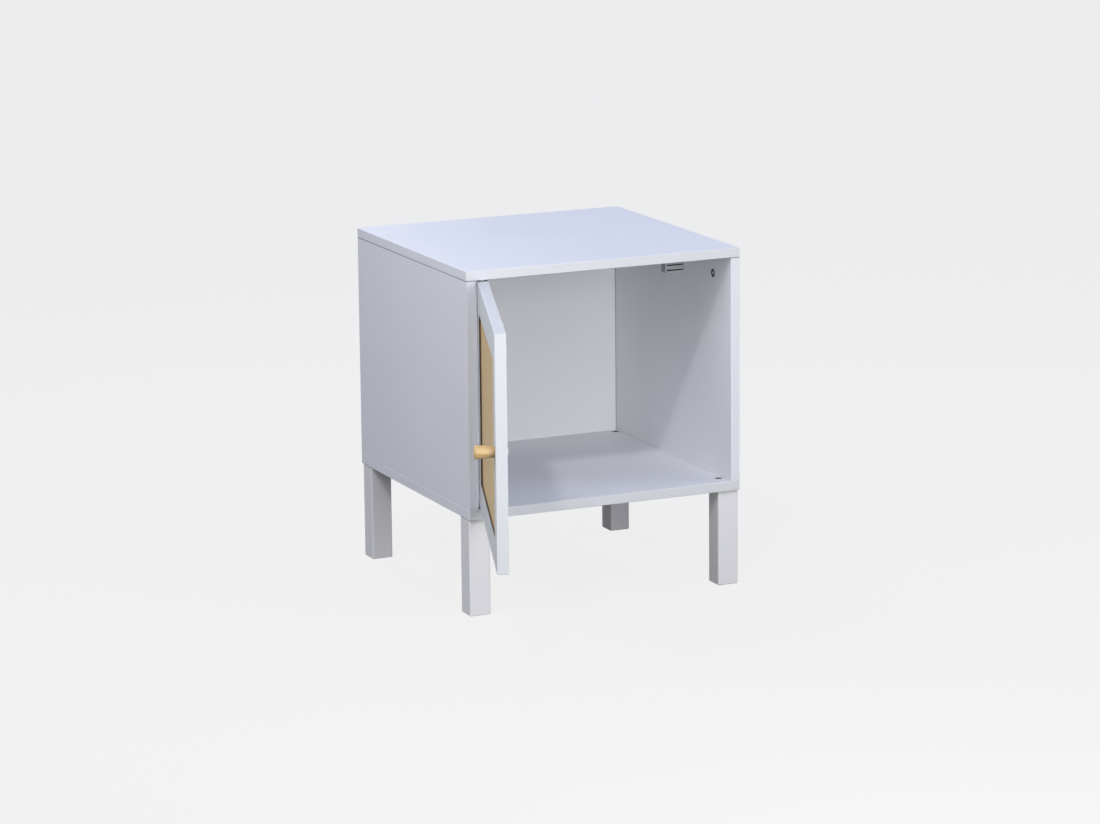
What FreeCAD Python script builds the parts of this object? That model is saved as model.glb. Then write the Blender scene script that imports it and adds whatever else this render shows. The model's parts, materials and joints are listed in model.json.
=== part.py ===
import FreeCAD, Part
import math
import os
import re

import Sketcher

# Storage side table with one inset door, in millimetres.
# The origin is on the floor, midway between the four legs. +X is right, +Y is back, +Z is up, and the
# front faces -Y. The box is built from boards: the side panels stand between a bottom and a top panel of
# full width, and a thin back panel sits in grooves. The door turns on two pivot pins at the left.

SIZES = {
    # whole table
    "table_width": 400,
    "table_depth": 385,
    "table_height": 467,
    "panel_thick": 13,
    "panel_round": 0.8,
    # legs, screwed under the corners of the bottom panel
    "leg_height": 132,
    "leg_width": 30,
    "leg_inset_side": 0.5,
    "leg_inset_front": 4,
    "leg_round": 2,
    # back panel, in a groove all round
    "back_thick": 3,
    "back_inset": 16,
    "groove_depth": 6,
    "groove_clear": 0.1,
    "groove_end_clear": 0.5,
    # leg bolts, down through the bottom panel into threaded inserts
    "leg_bolt_dia": 6,
    "leg_bolt_length": 38,
    "leg_bolt_head_dia": 11,
    "leg_bolt_head_high": 2.4,
    "leg_bolt_head_below": 0.4,
    "leg_bolt_hex": 4,
    "leg_bolt_hex_deep": 1.6,
    "leg_bolt_from_wall": 6,
    "leg_bolt_inward": 8,
    "leg_bolt_clear": 0.3,
    "leg_bolt_end_clear": 4,
    "insert_dia": 9,
    "insert_length": 15,
    "thread_clear": 0.05,
    # cam locks in the side panels, on bolts that hang from the top panel
    "cam_dia": 12,
    "cam_depth": 9.5,
    "cam_drop": 29.5,
    "cam_setback": 55,
    "cam_clear": 0.05,
    "cam_bore_dia": 5.6,
    "cam_slot_wide": 1.2,
    "cam_slot_long": 7,
    "cam_slot_deep": 1.5,
    "cam_bolt_dia": 5,
    "cam_bolt_neck_dia": 3,
    "cam_bolt_head_high": 3,
    "cam_bolt_neck_high": 4,
    "cam_bolt_below_cam": 2,
    "cam_bolt_in_top": 8,
    # dowels between panels
    "dowel_dia": 6,
    "dowel_length": 24,
    "dowel_in_panel": 8,
    "dowel_chamfer": 0.8,
    "dowel_end_clear": 0.5,
    "dowel_spacing": 32,
    # screws up through the bottom panel into the side panels
    "side_screw_dia": 5,
    "side_screw_length": 45,
    "side_screw_head_dia": 8.5,
    "side_screw_head_high": 3,
    "side_screw_clear": 0.05,
    # door leaf
    "door_gap": 2,
    "door_thick": 15,
    "door_round": 0.8,
    "door_open_angle": 110,
    "frame_width": 38,
    "recess_depth": 2.5,
    "rebate_width": 8,
    "rebate_clear": 0.3,
    "cane_thick": 1.5,
    "board_thick": 3,
    "frame_dowel_dia": 6,
    "frame_dowel_length": 30,
    "frame_dowel_from_edge": 8,
    "frame_dowel_spacing": 14,
    # pivot pins of the door and the bushes they turn in
    "pivot_from_edge": 9,
    "pivot_from_face": 6,
    "pivot_dia": 5,
    "pivot_clear": 0.05,
    "pivot_in_door": 20,
    "pivot_in_bush": 6,
    "pivot_chamfer": 0.6,
    "bush_dia": 8,
    "bush_depth": 8,
    "bush_end_wall": 1,
    "bush_flange_dia": 9.5,
    "bush_flange_clear": 1.2,
    # knob on the free stile
    "knob_length": 26,
    "knob_base_dia": 14,
    "knob_end_dia": 18.4,
    "knob_end_round": 2.6,
    "knob_screw_dia": 4,
    "knob_screw_in_knob": 14,
    "knob_screw_head_dia": 8,
    "knob_screw_head_high": 2.4,
    "knob_screw_clear": 0.05,
    # magnetic catch under the top panel
    "catch_from_wall": 76,
    "catch_width": 28,
    "catch_height": 16,
    "catch_front_long": 12,
    "catch_flange_long": 8,
    "catch_flange_thick": 4,
    "catch_round": 1.2,
    "pole_width": 24,
    "pole_length": 10,
    "pole_thick": 1.6,
    "pole_drop": 9.5,
    "pole_proud": 0.6,
    "pole_closed_gap": 0.4,
    "magnet_thick": 5.4,
    "magnet_setback": 1.5,
    "catch_screw_dia": 3,
    "catch_screw_length": 12,
    "catch_screw_head_dia": 6,
    "catch_screw_head_high": 1.8,
    "catch_screw_spacing": 18,
    # strike plate on the back of the door's top rail
    "strike_width": 24,
    "strike_height": 12,
    "strike_thick": 1,
    "strike_screw_dia": 2.5,
    "strike_screw_length": 10,
    "strike_screw_head_dia": 4.5,
    "strike_screw_spacing": 15,
}

doc = FreeCAD.newDocument("SideTable")
sheet = doc.addObject("Spreadsheet::Sheet", "Sizes")
for row, (size_name, size_value) in enumerate(SIZES.items(), 1):
    sheet.set(f"A{row}", size_name)
    sheet.set(f"B{row}", str(size_value))
    sheet.setAlias(f"B{row}", size_name)
doc.recompute()

# Places that several pieces share, as expressions of the sheet's cells.
HALF_WIDTH = "(table_width / 2)"
HALF_DEPTH = "(table_depth / 2)"
UNDER_TOP = "(table_height - panel_thick)"
CABINET_FLOOR = "(leg_height + panel_thick)"
INNER_WALL = "(table_width / 2 - panel_thick)"
SIDE_HEIGHT = "(table_height - leg_height - 2 * panel_thick)"
SIDE_MIDDLE = "(table_width / 2 - panel_thick / 2)"
BACK_FACE = "(table_depth / 2 - back_inset - back_thick)"
GROOVE_WIDTH = "(back_thick + 2 * groove_clear)"
CAM_Y = "(table_depth / 2 - cam_setback)"
DOWEL_Y = "(table_depth / 2 - cam_setback - dowel_spacing)"
LEG_X = "(table_width / 2 - leg_inset_side - leg_width / 2)"
LEG_Y = "(table_depth / 2 - leg_inset_front - leg_width / 2)"
LEG_BOLT_X = "(table_width / 2 - panel_thick - leg_bolt_from_wall)"
LEG_BOLT_Y = "(table_depth / 2 - leg_inset_front - leg_width / 2 - leg_bolt_inward)"
LEG_BOLT_SEAT = "(leg_bolt_head_high + leg_bolt_head_below)"
SIDE_SCREW_DEPTH = "(side_screw_length - panel_thick + dowel_end_clear)"
PIVOT_X = "(table_width / 2 - panel_thick - door_gap - pivot_from_edge)"
PIVOT_Y = "(table_depth / 2 - pivot_from_face)"
DOOR_WIDTH = "(table_width - 2 * panel_thick - 2 * door_gap)"
DOOR_HEIGHT = "(table_height - leg_height - 2 * panel_thick - 2 * door_gap)"
CATCH_X = "(table_width / 2 - panel_thick - catch_from_wall)"
POLE_FRONT = "(table_depth / 2 - door_thick - strike_thick - pole_closed_gap)"
CATCH_FRONT = "(table_depth / 2 - door_thick - strike_thick - pole_closed_gap - pole_proud)"
CATCH_SCREW_Y = f"({CATCH_FRONT} - catch_front_long - catch_flange_long / 2)"

# Round holes that more than one piece has.
CLEAR_BOLT_HOLE = "leg_bolt_dia / 2 + leg_bolt_clear"
DOWEL_HOLE = "dowel_dia / 2 + thread_clear"
DOWEL_HOLE_DEPTH = "dowel_length - dowel_in_panel + dowel_end_clear"
SIDE_SCREW_HOLE = "side_screw_dia / 2 + side_screw_clear"
KNOB_SCREW_HOLE = "knob_screw_dia / 2 + knob_screw_clear"

# The door's own frame: x from the pivot axis towards the free edge, y inwards from the pivot axis, z up
# from the door's lower edge.
DOOR_FACE = "pivot_from_face"
DOOR_INSIDE = "(door_thick - pivot_from_face)"
FREE_EDGE = f"({DOOR_WIDTH} - pivot_from_edge)"
OPENING_X = "(frame_width - pivot_from_edge)"
OPENING_WIDTH = f"({DOOR_WIDTH} - 2 * frame_width)"
OPENING_HEIGHT = f"({DOOR_HEIGHT} - 2 * frame_width)"
DOOR_MIDDLE = f"({DOOR_WIDTH} / 2 - pivot_from_edge)"
CANE_FACE = "(pivot_from_face - recess_depth)"
REBATE_DEPTH = "(door_thick - recess_depth)"
BEAD_THICK = "(door_thick - recess_depth - cane_thick - board_thick)"
INFILL_WIDTH = f"({OPENING_WIDTH} + 2 * rebate_width - 2 * rebate_clear)"
INFILL_HEIGHT = f"({OPENING_HEIGHT} + 2 * rebate_width - 2 * rebate_clear)"
INFILL_FOOT = "(frame_width - rebate_width + rebate_clear)"
KNOB_X = f"({FREE_EDGE} - frame_width / 2)"
STRIKE_X = f"({CATCH_X} + {PIVOT_X})"
STRIKE_Z = f"({DOOR_HEIGHT} + door_gap - pole_drop)"

nodes = []


def tied(text):
    """Point every size name in an expression at its cell of the sheet."""
    return re.sub(r"[a-z]+(?:_[a-z]+)+", lambda found: "Sizes." + found.group(0), text)


def place(piece, x="0", y="0", z="0"):
    """Set a piece down in the table's frame."""
    for axis, text in zip("xyz", (x, y, z)):
        piece.setExpression(f"Placement.Base.{axis}", tied(text))
    return piece


def hang(piece):
    """Put a piece drawn in the door's own frame on its pivots, turned open."""
    piece.Placement = FreeCAD.Placement(FreeCAD.Vector(), FreeCAD.Rotation(FreeCAD.Vector(0, 0, -1), 1))
    place(piece, f"-{PIVOT_X}", f"-{PIVOT_Y}", f"{CABINET_FLOOR} + door_gap")
    piece.setExpression("Placement.Rotation.Angle", tied("door_open_angle"))
    return piece


def node(piece):
    """Count a finished piece among those that are written."""
    nodes.append(piece)
    return piece


def new_body(label):
    piece = doc.addObject("PartDesign::Body", label)
    piece.Label = label
    return piece


# Sketch planes by the axis they face. Each gives the origin plane's role, the order and signs of a place's
# coordinates on that plane, and the direction of its normal.
PLANES = {
    "x": ("YZ_Plane", lambda x, y, z: (y, z, x), "+x"),
    "y": ("XZ_Plane", lambda x, y, z: (x, z, f"-({y})"), "-y"),
    "z": ("XY_Plane", lambda x, y, z: (x, y, z), "+z"),
}


def new_sketch(piece, facing, at):
    """Sketch on a plane across the facing axis, with its own origin at a place given by expressions."""
    role, order, _ = PLANES[facing]
    sketch = piece.newObject("Sketcher::SketchObject", f"{piece.Label}_sketch")
    plane = next(item for item in piece.Origin.OriginFeatures if item.Role == role)
    sketch.AttachmentSupport = [(plane, "")]
    sketch.MapMode = "FlatFace"
    for axis, text in zip("xyz", order(*at)):
        sketch.setExpression(f"AttachmentOffset.Base.{axis}", tied(text))
    return sketch


def hold_point(sketch, geometry, point, u, v):
    """Fix one point of a sketch at expressions u and v from the sketch's origin."""
    for kind, text, far_axis in (("DistanceX", u, -2), ("DistanceY", v, -1)):
        if text == "0":
            sketch.addConstraint(Sketcher.Constraint("PointOnObject", geometry, point, far_axis))
            continue
        index = sketch.addConstraint(Sketcher.Constraint(kind, -1, 1, geometry, point, 1.0))
        sketch.setExpression(f"Constraints[{index}]", tied(text))


def outline(*corners):
    """Profile of straight lines through corners, each a pair of expressions."""

    def draw(sketch):
        count = len(corners)
        turn = 2 * math.pi / count
        spots = [FreeCAD.Vector(2 - math.cos(k * turn), 2 - math.sin(k * turn), 0) for k in range(count)]
        for k in range(count):
            sketch.addGeometry(Part.LineSegment(spots[k], spots[(k + 1) % count]))
        for k in range(count):
            sketch.addConstraint(Sketcher.Constraint("Coincident", k, 2, (k + 1) % count, 1))
        for k, (u, v) in enumerate(corners):
            hold_point(sketch, k, 1, u, v)

    return draw


def rectangle(width, height):
    """Profile of a rectangle with its lowest corner at the sketch's origin."""
    return outline(("0", "0"), (width, "0"), (width, height), ("0", height))


def circles(radius, *centres):
    """Profile of equal circles, each centre a pair of expressions."""

    def draw(sketch):
        for k, (u, v) in enumerate(centres or (("0", "0"),)):
            spot = FreeCAD.Vector(4 * k, 4 * k, 0)
            index = sketch.addGeometry(Part.Circle(spot, FreeCAD.Vector(0, 0, 1), 1))
            hold_point(sketch, index, 3, u, v)
            size = sketch.addConstraint(Sketcher.Constraint("Radius", index, 1.0))
            sketch.setExpression(f"Constraints[{size}]", tied(radius))

    return draw


def four_circles(radius, half_u, half_v):
    """Profile of four circles at the corners of a rectangle, the first at the sketch's origin."""
    u, v = f"2 * {half_u}", f"2 * {half_v}"
    return circles(radius, ("0", "0"), (u, "0"), ("0", v), (u, v))


def pad(piece, toward, at, profile, length):
    """Raise a profile from a place along a signed axis such as +z."""
    sketch = new_sketch(piece, toward[1], at)
    profile(sketch)
    feature = piece.newObject("PartDesign::Pad", f"{piece.Label}_pad")
    feature.Profile = sketch
    feature.Reversed = toward != PLANES[toward[1]][2]
    feature.setExpression("Length", tied(length))
    doc.recompute()
    return feature


def cut(piece, toward, at, profile, depth):
    """Cut a profile from a place along a signed axis, and make sure that it took something away."""
    before = piece.Tip.Shape.Volume
    sketch = new_sketch(piece, toward[1], at)
    profile(sketch)
    feature = piece.newObject("PartDesign::Pocket", f"{piece.Label}_pocket")
    feature.Profile = sketch
    feature.Reversed = toward == PLANES[toward[1]][2]
    feature.setExpression("Length", tied(depth))
    doc.recompute()
    if feature.Shape.Volume >= before:
        raise ValueError(f"a cut in {piece.Label} removes nothing")
    return feature


def turned(piece, facing, at, *profile):
    """Turn a profile of (radius, height) pairs about the upright axis of its sketch."""
    sketch = new_sketch(piece, facing, at)
    outline(*profile)(sketch)
    feature = piece.newObject("PartDesign::Revolution", f"{piece.Label}_turned")
    feature.Profile = sketch
    feature.ReferenceAxis = (sketch, ["V_Axis"])
    feature.Angle = 360
    doc.recompute()
    return feature


def dress(piece, kind, size, wanted):
    """Round (Fillet) or bevel (Chamfer) the edges that a test picks from the piece so far."""
    base = piece.Tip
    box = base.Shape.BoundBox
    picked = [f"Edge{k}" for k, edge in enumerate(base.Shape.Edges, 1) if wanted(edge.BoundBox, box)]
    feature = piece.newObject(f"PartDesign::{kind}", f"{piece.Label}_{kind.lower()}")
    feature.Base = (base, picked)
    feature.setExpression("Radius" if kind == "Fillet" else "Size", tied(size))
    doc.recompute()
    return feature


def upright(edge, box):
    return edge.ZLength > 0.9 * box.ZLength


def any_edge(edge, box):
    return True


def mirror_copy(source, axis, at="0"):
    """Mirror image of a piece across a plane at a place along one axis."""
    copy = doc.addObject("Part::Mirroring", f"{source.Label}_other_{axis}")
    copy.Source = source
    copy.Normal = FreeCAD.Vector(*(float(name == axis) for name in "xyz"))
    copy.setExpression(f"Base.{axis}", tied(at))
    return copy


def group(label, first, *mirrors):
    """One node of like pieces: the first one and its mirror images in each plane in turn."""
    pieces = [first]
    for axis, at in mirrors:
        pieces += [mirror_copy(piece, axis, at) for piece in pieces]
    whole = doc.addObject("Part::Compound", label)
    whole.Label = label
    whole.Links = pieces
    return node(whole)


FOUR_CORNERS = (("x", "0"), ("y", "0"))


# Top panel: full width and depth, lying on the side panels.
def top_panel():
    piece = new_body("top_panel")
    corner = (f"-{HALF_WIDTH}", f"-{HALF_DEPTH}", "0")
    pad(piece, "+z", corner, rectangle("table_width", "table_depth"), "panel_thick")
    dress(piece, "Fillet", "panel_round", any_edge)
    cut(
        piece,
        "+z",
        (f"-({INNER_WALL} + groove_depth)", f"{BACK_FACE} - groove_clear", "0"),
        rectangle(f"2 * ({INNER_WALL} + groove_depth)", GROOVE_WIDTH),
        "groove_depth",
    )
    cut(
        piece,
        "+z",
        (f"-{SIDE_MIDDLE}", f"-{CAM_Y}", "0"),
        four_circles("cam_bolt_dia / 2 + thread_clear", SIDE_MIDDLE, CAM_Y),
        "cam_bolt_in_top",
    )
    cut(
        piece,
        "+z",
        (f"-{SIDE_MIDDLE}", f"-{DOWEL_Y}", "0"),
        four_circles(DOWEL_HOLE, SIDE_MIDDLE, DOWEL_Y),
        "dowel_in_panel",
    )
    cut(piece, "+z", (f"-{PIVOT_X}", f"-{PIVOT_Y}", "0"), circles("bush_dia / 2"), "bush_depth")
    cut(
        piece,
        "+z",
        (f"{CATCH_X} - catch_screw_spacing / 2", f"-{CATCH_SCREW_Y}", "0"),
        circles("catch_screw_dia / 2 + thread_clear", ("0", "0"), ("catch_screw_spacing", "0")),
        "catch_screw_length - catch_flange_thick + dowel_end_clear",
    )
    node(place(piece, z=UNDER_TOP))


# Bottom panel: full width and depth, on the legs and under the side panels.
def bottom_panel():
    piece = new_body("bottom_panel")
    corner = (f"-{HALF_WIDTH}", f"-{HALF_DEPTH}", "0")
    pad(piece, "+z", corner, rectangle("table_width", "table_depth"), "panel_thick")
    dress(piece, "Fillet", "panel_round", any_edge)
    cut(
        piece,
        "-z",
        (f"-({INNER_WALL} + groove_depth)", f"{BACK_FACE} - groove_clear", "panel_thick"),
        rectangle(f"2 * ({INNER_WALL} + groove_depth)", GROOVE_WIDTH),
        "groove_depth",
    )
    bolt_spot = (f"-{LEG_BOLT_X}", f"-{LEG_BOLT_Y}", "panel_thick")
    bolt_seat = "leg_bolt_head_dia / 2 + leg_bolt_clear"
    cut(piece, "-z", bolt_spot, four_circles(CLEAR_BOLT_HOLE, LEG_BOLT_X, LEG_BOLT_Y), "panel_thick")
    cut(piece, "-z", bolt_spot, four_circles(bolt_seat, LEG_BOLT_X, LEG_BOLT_Y), LEG_BOLT_SEAT)
    cut(
        piece,
        "-z",
        (f"-{SIDE_MIDDLE}", f"-{DOWEL_Y}", "panel_thick"),
        four_circles(DOWEL_HOLE, SIDE_MIDDLE, DOWEL_Y),
        "dowel_in_panel",
    )
    cut(
        piece,
        "-z",
        (f"-{SIDE_MIDDLE}", f"-{CAM_Y}", "panel_thick"),
        four_circles(SIDE_SCREW_HOLE, SIDE_MIDDLE, CAM_Y),
        "panel_thick",
    )
    cut(
        piece,
        "+z",
        (f"-{SIDE_MIDDLE}", f"-{CAM_Y}", "0"),
        four_circles("side_screw_head_dia / 2 + side_screw_clear", SIDE_MIDDLE, CAM_Y),
        "side_screw_head_high",
    )
    cut(piece, "-z", (f"-{PIVOT_X}", f"-{PIVOT_Y}", "panel_thick"), circles("bush_dia / 2"), "bush_depth")
    node(place(piece, z="leg_height"))


# Side panel: a board on edge between bottom and top. Its inner face has the cam holes and the groove.
def side_panel(label, side):
    inner = f"{side}{INNER_WALL}"
    middle = f"{side}{SIDE_MIDDLE}"
    outwards = f"{side or '+'}x"
    piece = new_body(label)
    low_x = f"-{HALF_WIDTH}" if side else INNER_WALL
    pad(piece, "+z", (low_x, f"-{HALF_DEPTH}", "0"), rectangle("panel_thick", "table_depth"), SIDE_HEIGHT)
    dress(piece, "Fillet", "panel_round", any_edge)
    cut(
        piece,
        outwards,
        (inner, f"{BACK_FACE} - groove_clear", "0"),
        rectangle(GROOVE_WIDTH, SIDE_HEIGHT),
        "groove_depth",
    )
    cut(
        piece,
        outwards,
        (inner, f"-{CAM_Y}", f"{SIDE_HEIGHT} - cam_drop"),
        circles("cam_dia / 2", ("0", "0"), (f"2 * {CAM_Y}", "0")),
        "cam_depth",
    )
    edge_holes = (
        ("-z", SIDE_HEIGHT, CAM_Y, "cam_bore_dia / 2", "cam_drop"),
        ("-z", SIDE_HEIGHT, DOWEL_Y, DOWEL_HOLE, DOWEL_HOLE_DEPTH),
        ("+z", "0", DOWEL_Y, DOWEL_HOLE, DOWEL_HOLE_DEPTH),
        ("+z", "0", CAM_Y, SIDE_SCREW_HOLE, SIDE_SCREW_DEPTH),
    )
    for toward, level, half_y, radius, depth in edge_holes:
        two_holes = circles(radius, ("0", "0"), ("0", f"2 * {half_y}"))
        cut(piece, toward, (middle, f"-{half_y}", level), two_holes, depth)
    node(place(piece, z=CABINET_FLOOR))


# Back panel: thin board, slid into the grooves of the four boards round it.
def back_panel():
    piece = new_body("back_panel")
    reach = "(groove_depth - groove_end_clear)"
    pad(
        piece,
        "+y",
        (f"-({INNER_WALL} + {reach})", "0", f"-{reach}"),
        rectangle(f"2 * ({INNER_WALL} + {reach})", f"{SIDE_HEIGHT} + 2 * {reach}"),
        "back_thick",
    )
    node(place(piece, y=BACK_FACE, z=CABINET_FLOOR))


# Leg: square post under a corner, with a threaded insert in its upper end.
def leg(label, side, end):
    piece = new_body(label)
    corner = ("-leg_width / 2", "-leg_width / 2", "0")
    hole = (f"{side}({LEG_BOLT_X} - {LEG_X})", f"{end}({LEG_BOLT_Y} - {LEG_Y})", "leg_height")
    pad(piece, "+z", corner, rectangle("leg_width", "leg_width"), "leg_height")
    dress(piece, "Fillet", "leg_round", upright)
    dress(piece, "Chamfer", "panel_round", lambda edge, box: edge.ZMax < box.ZMin + 0.01)
    bolt_depth = f"leg_bolt_length + {LEG_BOLT_SEAT} - panel_thick + leg_bolt_end_clear"
    cut(piece, "-z", hole, circles(CLEAR_BOLT_HOLE), bolt_depth)
    cut(piece, "-z", hole, circles("insert_dia / 2"), "insert_length")
    node(place(piece, f"{side}{LEG_X}", f"{end}{LEG_Y}"))


# Threaded inserts: steel sleeves set flush into the legs' upper ends.
def leg_inserts():
    piece = new_body("leg_insert")
    pad(piece, "-z", ("0", "0", "0"), circles("insert_dia / 2"), "insert_length")
    cut(piece, "-z", ("0", "0", "0"), circles("leg_bolt_dia / 2 + thread_clear"), "insert_length")
    place(piece, LEG_BOLT_X, LEG_BOLT_Y, "leg_height")
    group("leg_inserts", piece, *FOUR_CORNERS)


# Leg bolts: round heads with a hexagon socket, sunk just below the cabinet floor.
def leg_bolts():
    piece = new_body("leg_bolt")
    shank = "leg_bolt_dia / 2"
    head = "leg_bolt_head_dia / 2"
    turned(
        piece,
        "y",
        ("0", "0", "-leg_bolt_length"),
        ("0", "0"),
        (shank, "0"),
        (shank, "leg_bolt_length"),
        (head, "leg_bolt_length"),
        (head, "leg_bolt_length + leg_bolt_head_high / 3"),
        (f"{head} * 0.8", "leg_bolt_length + leg_bolt_head_high"),
        ("0", "leg_bolt_length + leg_bolt_head_high"),
    )
    corner = "(leg_bolt_hex / sqrt(3))"
    hexagon = outline(
        (f"{corner} / 2", "0"),
        (f"{corner} * 1.5", "0"),
        (f"{corner} * 2", "leg_bolt_hex / 2"),
        (f"{corner} * 1.5", "leg_bolt_hex"),
        (f"{corner} / 2", "leg_bolt_hex"),
        ("0", "leg_bolt_hex / 2"),
    )
    socket_corner = (f"-{corner}", "-leg_bolt_hex / 2", "leg_bolt_head_high")
    cut(piece, "-z", socket_corner, hexagon, "leg_bolt_hex_deep")
    place(piece, LEG_BOLT_X, LEG_BOLT_Y, f"{CABINET_FLOOR} - {LEG_BOLT_SEAT}")
    group("leg_bolts", piece, *FOUR_CORNERS)


# Cam locks: drums flush with the side panels' inner faces, each turned by a cross slot.
def cam_locks():
    piece = new_body("cam_lock")
    pad(piece, "+x", ("0", "0", "0"), circles("cam_dia / 2 - cam_clear"), "cam_depth - cam_clear")
    cut(
        piece,
        "-z",
        ("panel_thick / 2", "0", "cam_dia / 2"),
        circles("cam_bore_dia / 2"),
        "cam_dia / 2 + cam_bore_dia / 2",
    )
    for along_y, along_z in (("cam_slot_wide", "cam_slot_long"), ("cam_slot_long", "cam_slot_wide")):
        start = ("0", f"-{along_y} / 2", f"-{along_z} / 2")
        cut(piece, "+x", start, rectangle(along_y, along_z), "cam_slot_deep")
    place(piece, INNER_WALL, CAM_Y, f"{UNDER_TOP} - cam_drop")
    group("cam_locks", piece, *FOUR_CORNERS)


# Cam bolts: screwed into the top panel, with a necked head held by the cam.
def cam_bolts():
    piece = new_body("cam_bolt")
    neck_top = "cam_bolt_head_high + cam_bolt_neck_high"
    end = "cam_bolt_below_cam + cam_drop + cam_bolt_in_top - dowel_end_clear"
    turned(
        piece,
        "y",
        ("0", "0", "0"),
        ("0", "0"),
        ("cam_bolt_dia / 2", "0"),
        ("cam_bolt_dia / 2", "cam_bolt_head_high"),
        ("cam_bolt_neck_dia / 2", "cam_bolt_head_high"),
        ("cam_bolt_neck_dia / 2", neck_top),
        ("cam_bolt_dia / 2", neck_top),
        ("cam_bolt_dia / 2", end),
        ("0", end),
    )
    place(piece, SIDE_MIDDLE, CAM_Y, f"{UNDER_TOP} - cam_drop - cam_bolt_below_cam")
    group("cam_bolts", piece, *FOUR_CORNERS)


# Carcass dowels: beech pegs between the side panels and the panels above and below them.
def panel_dowels(label, level, into_panel):
    piece = new_body(label[:-1])
    pad(piece, "+z", ("0", "0", "0"), circles("dowel_dia / 2"), "dowel_length - dowel_end_clear")
    dress(piece, "Chamfer", "dowel_chamfer", lambda edge, box: edge.ZLength < 0.01)
    place(piece, SIDE_MIDDLE, DOWEL_Y, f"{level} - {into_panel}")
    group(label, piece, *FOUR_CORNERS)


# Side screws: up through the bottom panel into the side panels, with sunk heads.
def side_screws():
    piece = new_body("side_screw")
    turned(
        piece,
        "y",
        ("0", "0", "0"),
        ("0", "0"),
        ("side_screw_head_dia / 2", "0"),
        ("side_screw_head_dia / 2", "side_screw_head_high"),
        ("side_screw_dia / 2", "side_screw_head_high"),
        ("side_screw_dia / 2", "side_screw_length - side_screw_dia"),
        ("0", "side_screw_length"),
    )
    place(piece, SIDE_MIDDLE, CAM_Y, "leg_height")
    group("side_screws", piece, *FOUR_CORNERS)


# Magnetic catch: a housing screwed up under the top panel. Two steel poles grip the magnet between them.
def catch_housing():
    piece = new_body("catch_housing")
    left = "-catch_width / 2"
    below_flange = "(catch_height - catch_flange_thick)"
    whole_length = "(catch_front_long + catch_flange_long)"
    pad(piece, "+y", (left, "0", "-catch_height"), rectangle("catch_width", "catch_height"), whole_length)
    dress(piece, "Fillet", "catch_round", upright)
    cut(
        piece,
        "+y",
        (left, "catch_front_long", "-catch_height"),
        rectangle("catch_width", below_flange),
        "catch_flange_long",
    )
    pocket_height = "(magnet_thick + 2 * pole_thick)"
    cut(
        piece,
        "+y",
        ("-pole_width / 2", "0", f"-pole_drop - {pocket_height} / 2"),
        rectangle("pole_width", pocket_height),
        "pole_length - pole_proud",
    )
    cut(
        piece,
        "+z",
        ("-catch_screw_spacing / 2", "catch_front_long + catch_flange_long / 2", "-catch_flange_thick"),
        circles("catch_screw_dia / 2 + thread_clear", ("0", "0"), ("catch_screw_spacing", "0")),
        "catch_flange_thick",
    )
    node(place(piece, CATCH_X, f"-{CATCH_FRONT}", UNDER_TOP))


def catch_magnet():
    piece = new_body("catch_magnet")
    pad(
        piece,
        "+y",
        ("-pole_width / 2", "magnet_setback", "-magnet_thick / 2"),
        rectangle("pole_width", "magnet_thick"),
        "pole_length - magnet_setback",
    )
    node(place(piece, CATCH_X, f"-{POLE_FRONT}", f"{UNDER_TOP} - pole_drop"))


def catch_poles():
    piece = new_body("catch_pole")
    pad(piece, "+y", ("-pole_width / 2", "0", "0"), rectangle("pole_width", "pole_thick"), "pole_length")
    place(piece, CATCH_X, f"-{POLE_FRONT}", f"{UNDER_TOP} - pole_drop + magnet_thick / 2")
    group("catch_poles", piece, ("z", f"{UNDER_TOP} - pole_drop"))


def catch_screws():
    piece = new_body("catch_screw")
    length = "(catch_screw_length + catch_screw_head_high)"
    turned(
        piece,
        "y",
        ("0", "0", "0"),
        ("0", "0"),
        ("catch_screw_head_dia / 2 * 0.7", "0"),
        ("catch_screw_head_dia / 2", "catch_screw_head_high / 2"),
        ("catch_screw_head_dia / 2", "catch_screw_head_high"),
        ("catch_screw_dia / 2", "catch_screw_head_high"),
        ("catch_screw_dia / 2", f"{length} - catch_screw_dia"),
        ("0", length),
    )
    place(
        piece,
        f"{CATCH_X} + catch_screw_spacing / 2",
        f"-{CATCH_SCREW_Y}",
        f"{UNDER_TOP} - catch_flange_thick - catch_screw_head_high",
    )
    group("catch_screws", piece, ("x", CATCH_X))


# Pivot bush: nylon cup with a flange, pressed into a panel. Its mouth faces the door.
def pivot_bush(label, level, upside_down):
    piece = new_body(label)
    flange = "(door_gap - bush_flange_clear)"
    bore = "pivot_dia / 2 + pivot_clear"
    end = "bush_depth"
    heights = (f"-{end}", "0", flange, f"-{end} + bush_end_wall")
    if upside_down:
        heights = (end, "0", f"-{flange}", f"{end} - bush_end_wall")
    blind_end, seat, rim, bore_end = heights
    turned(
        piece,
        "y",
        ("0", "0", "0"),
        ("0", blind_end),
        ("bush_dia / 2", blind_end),
        ("bush_dia / 2", seat),
        ("bush_flange_dia / 2", seat),
        ("bush_flange_dia / 2", rim),
        (bore, rim),
        (bore, bore_end),
        ("0", bore_end),
    )
    node(place(piece, f"-{PIVOT_X}", f"-{PIVOT_Y}", level))


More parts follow.
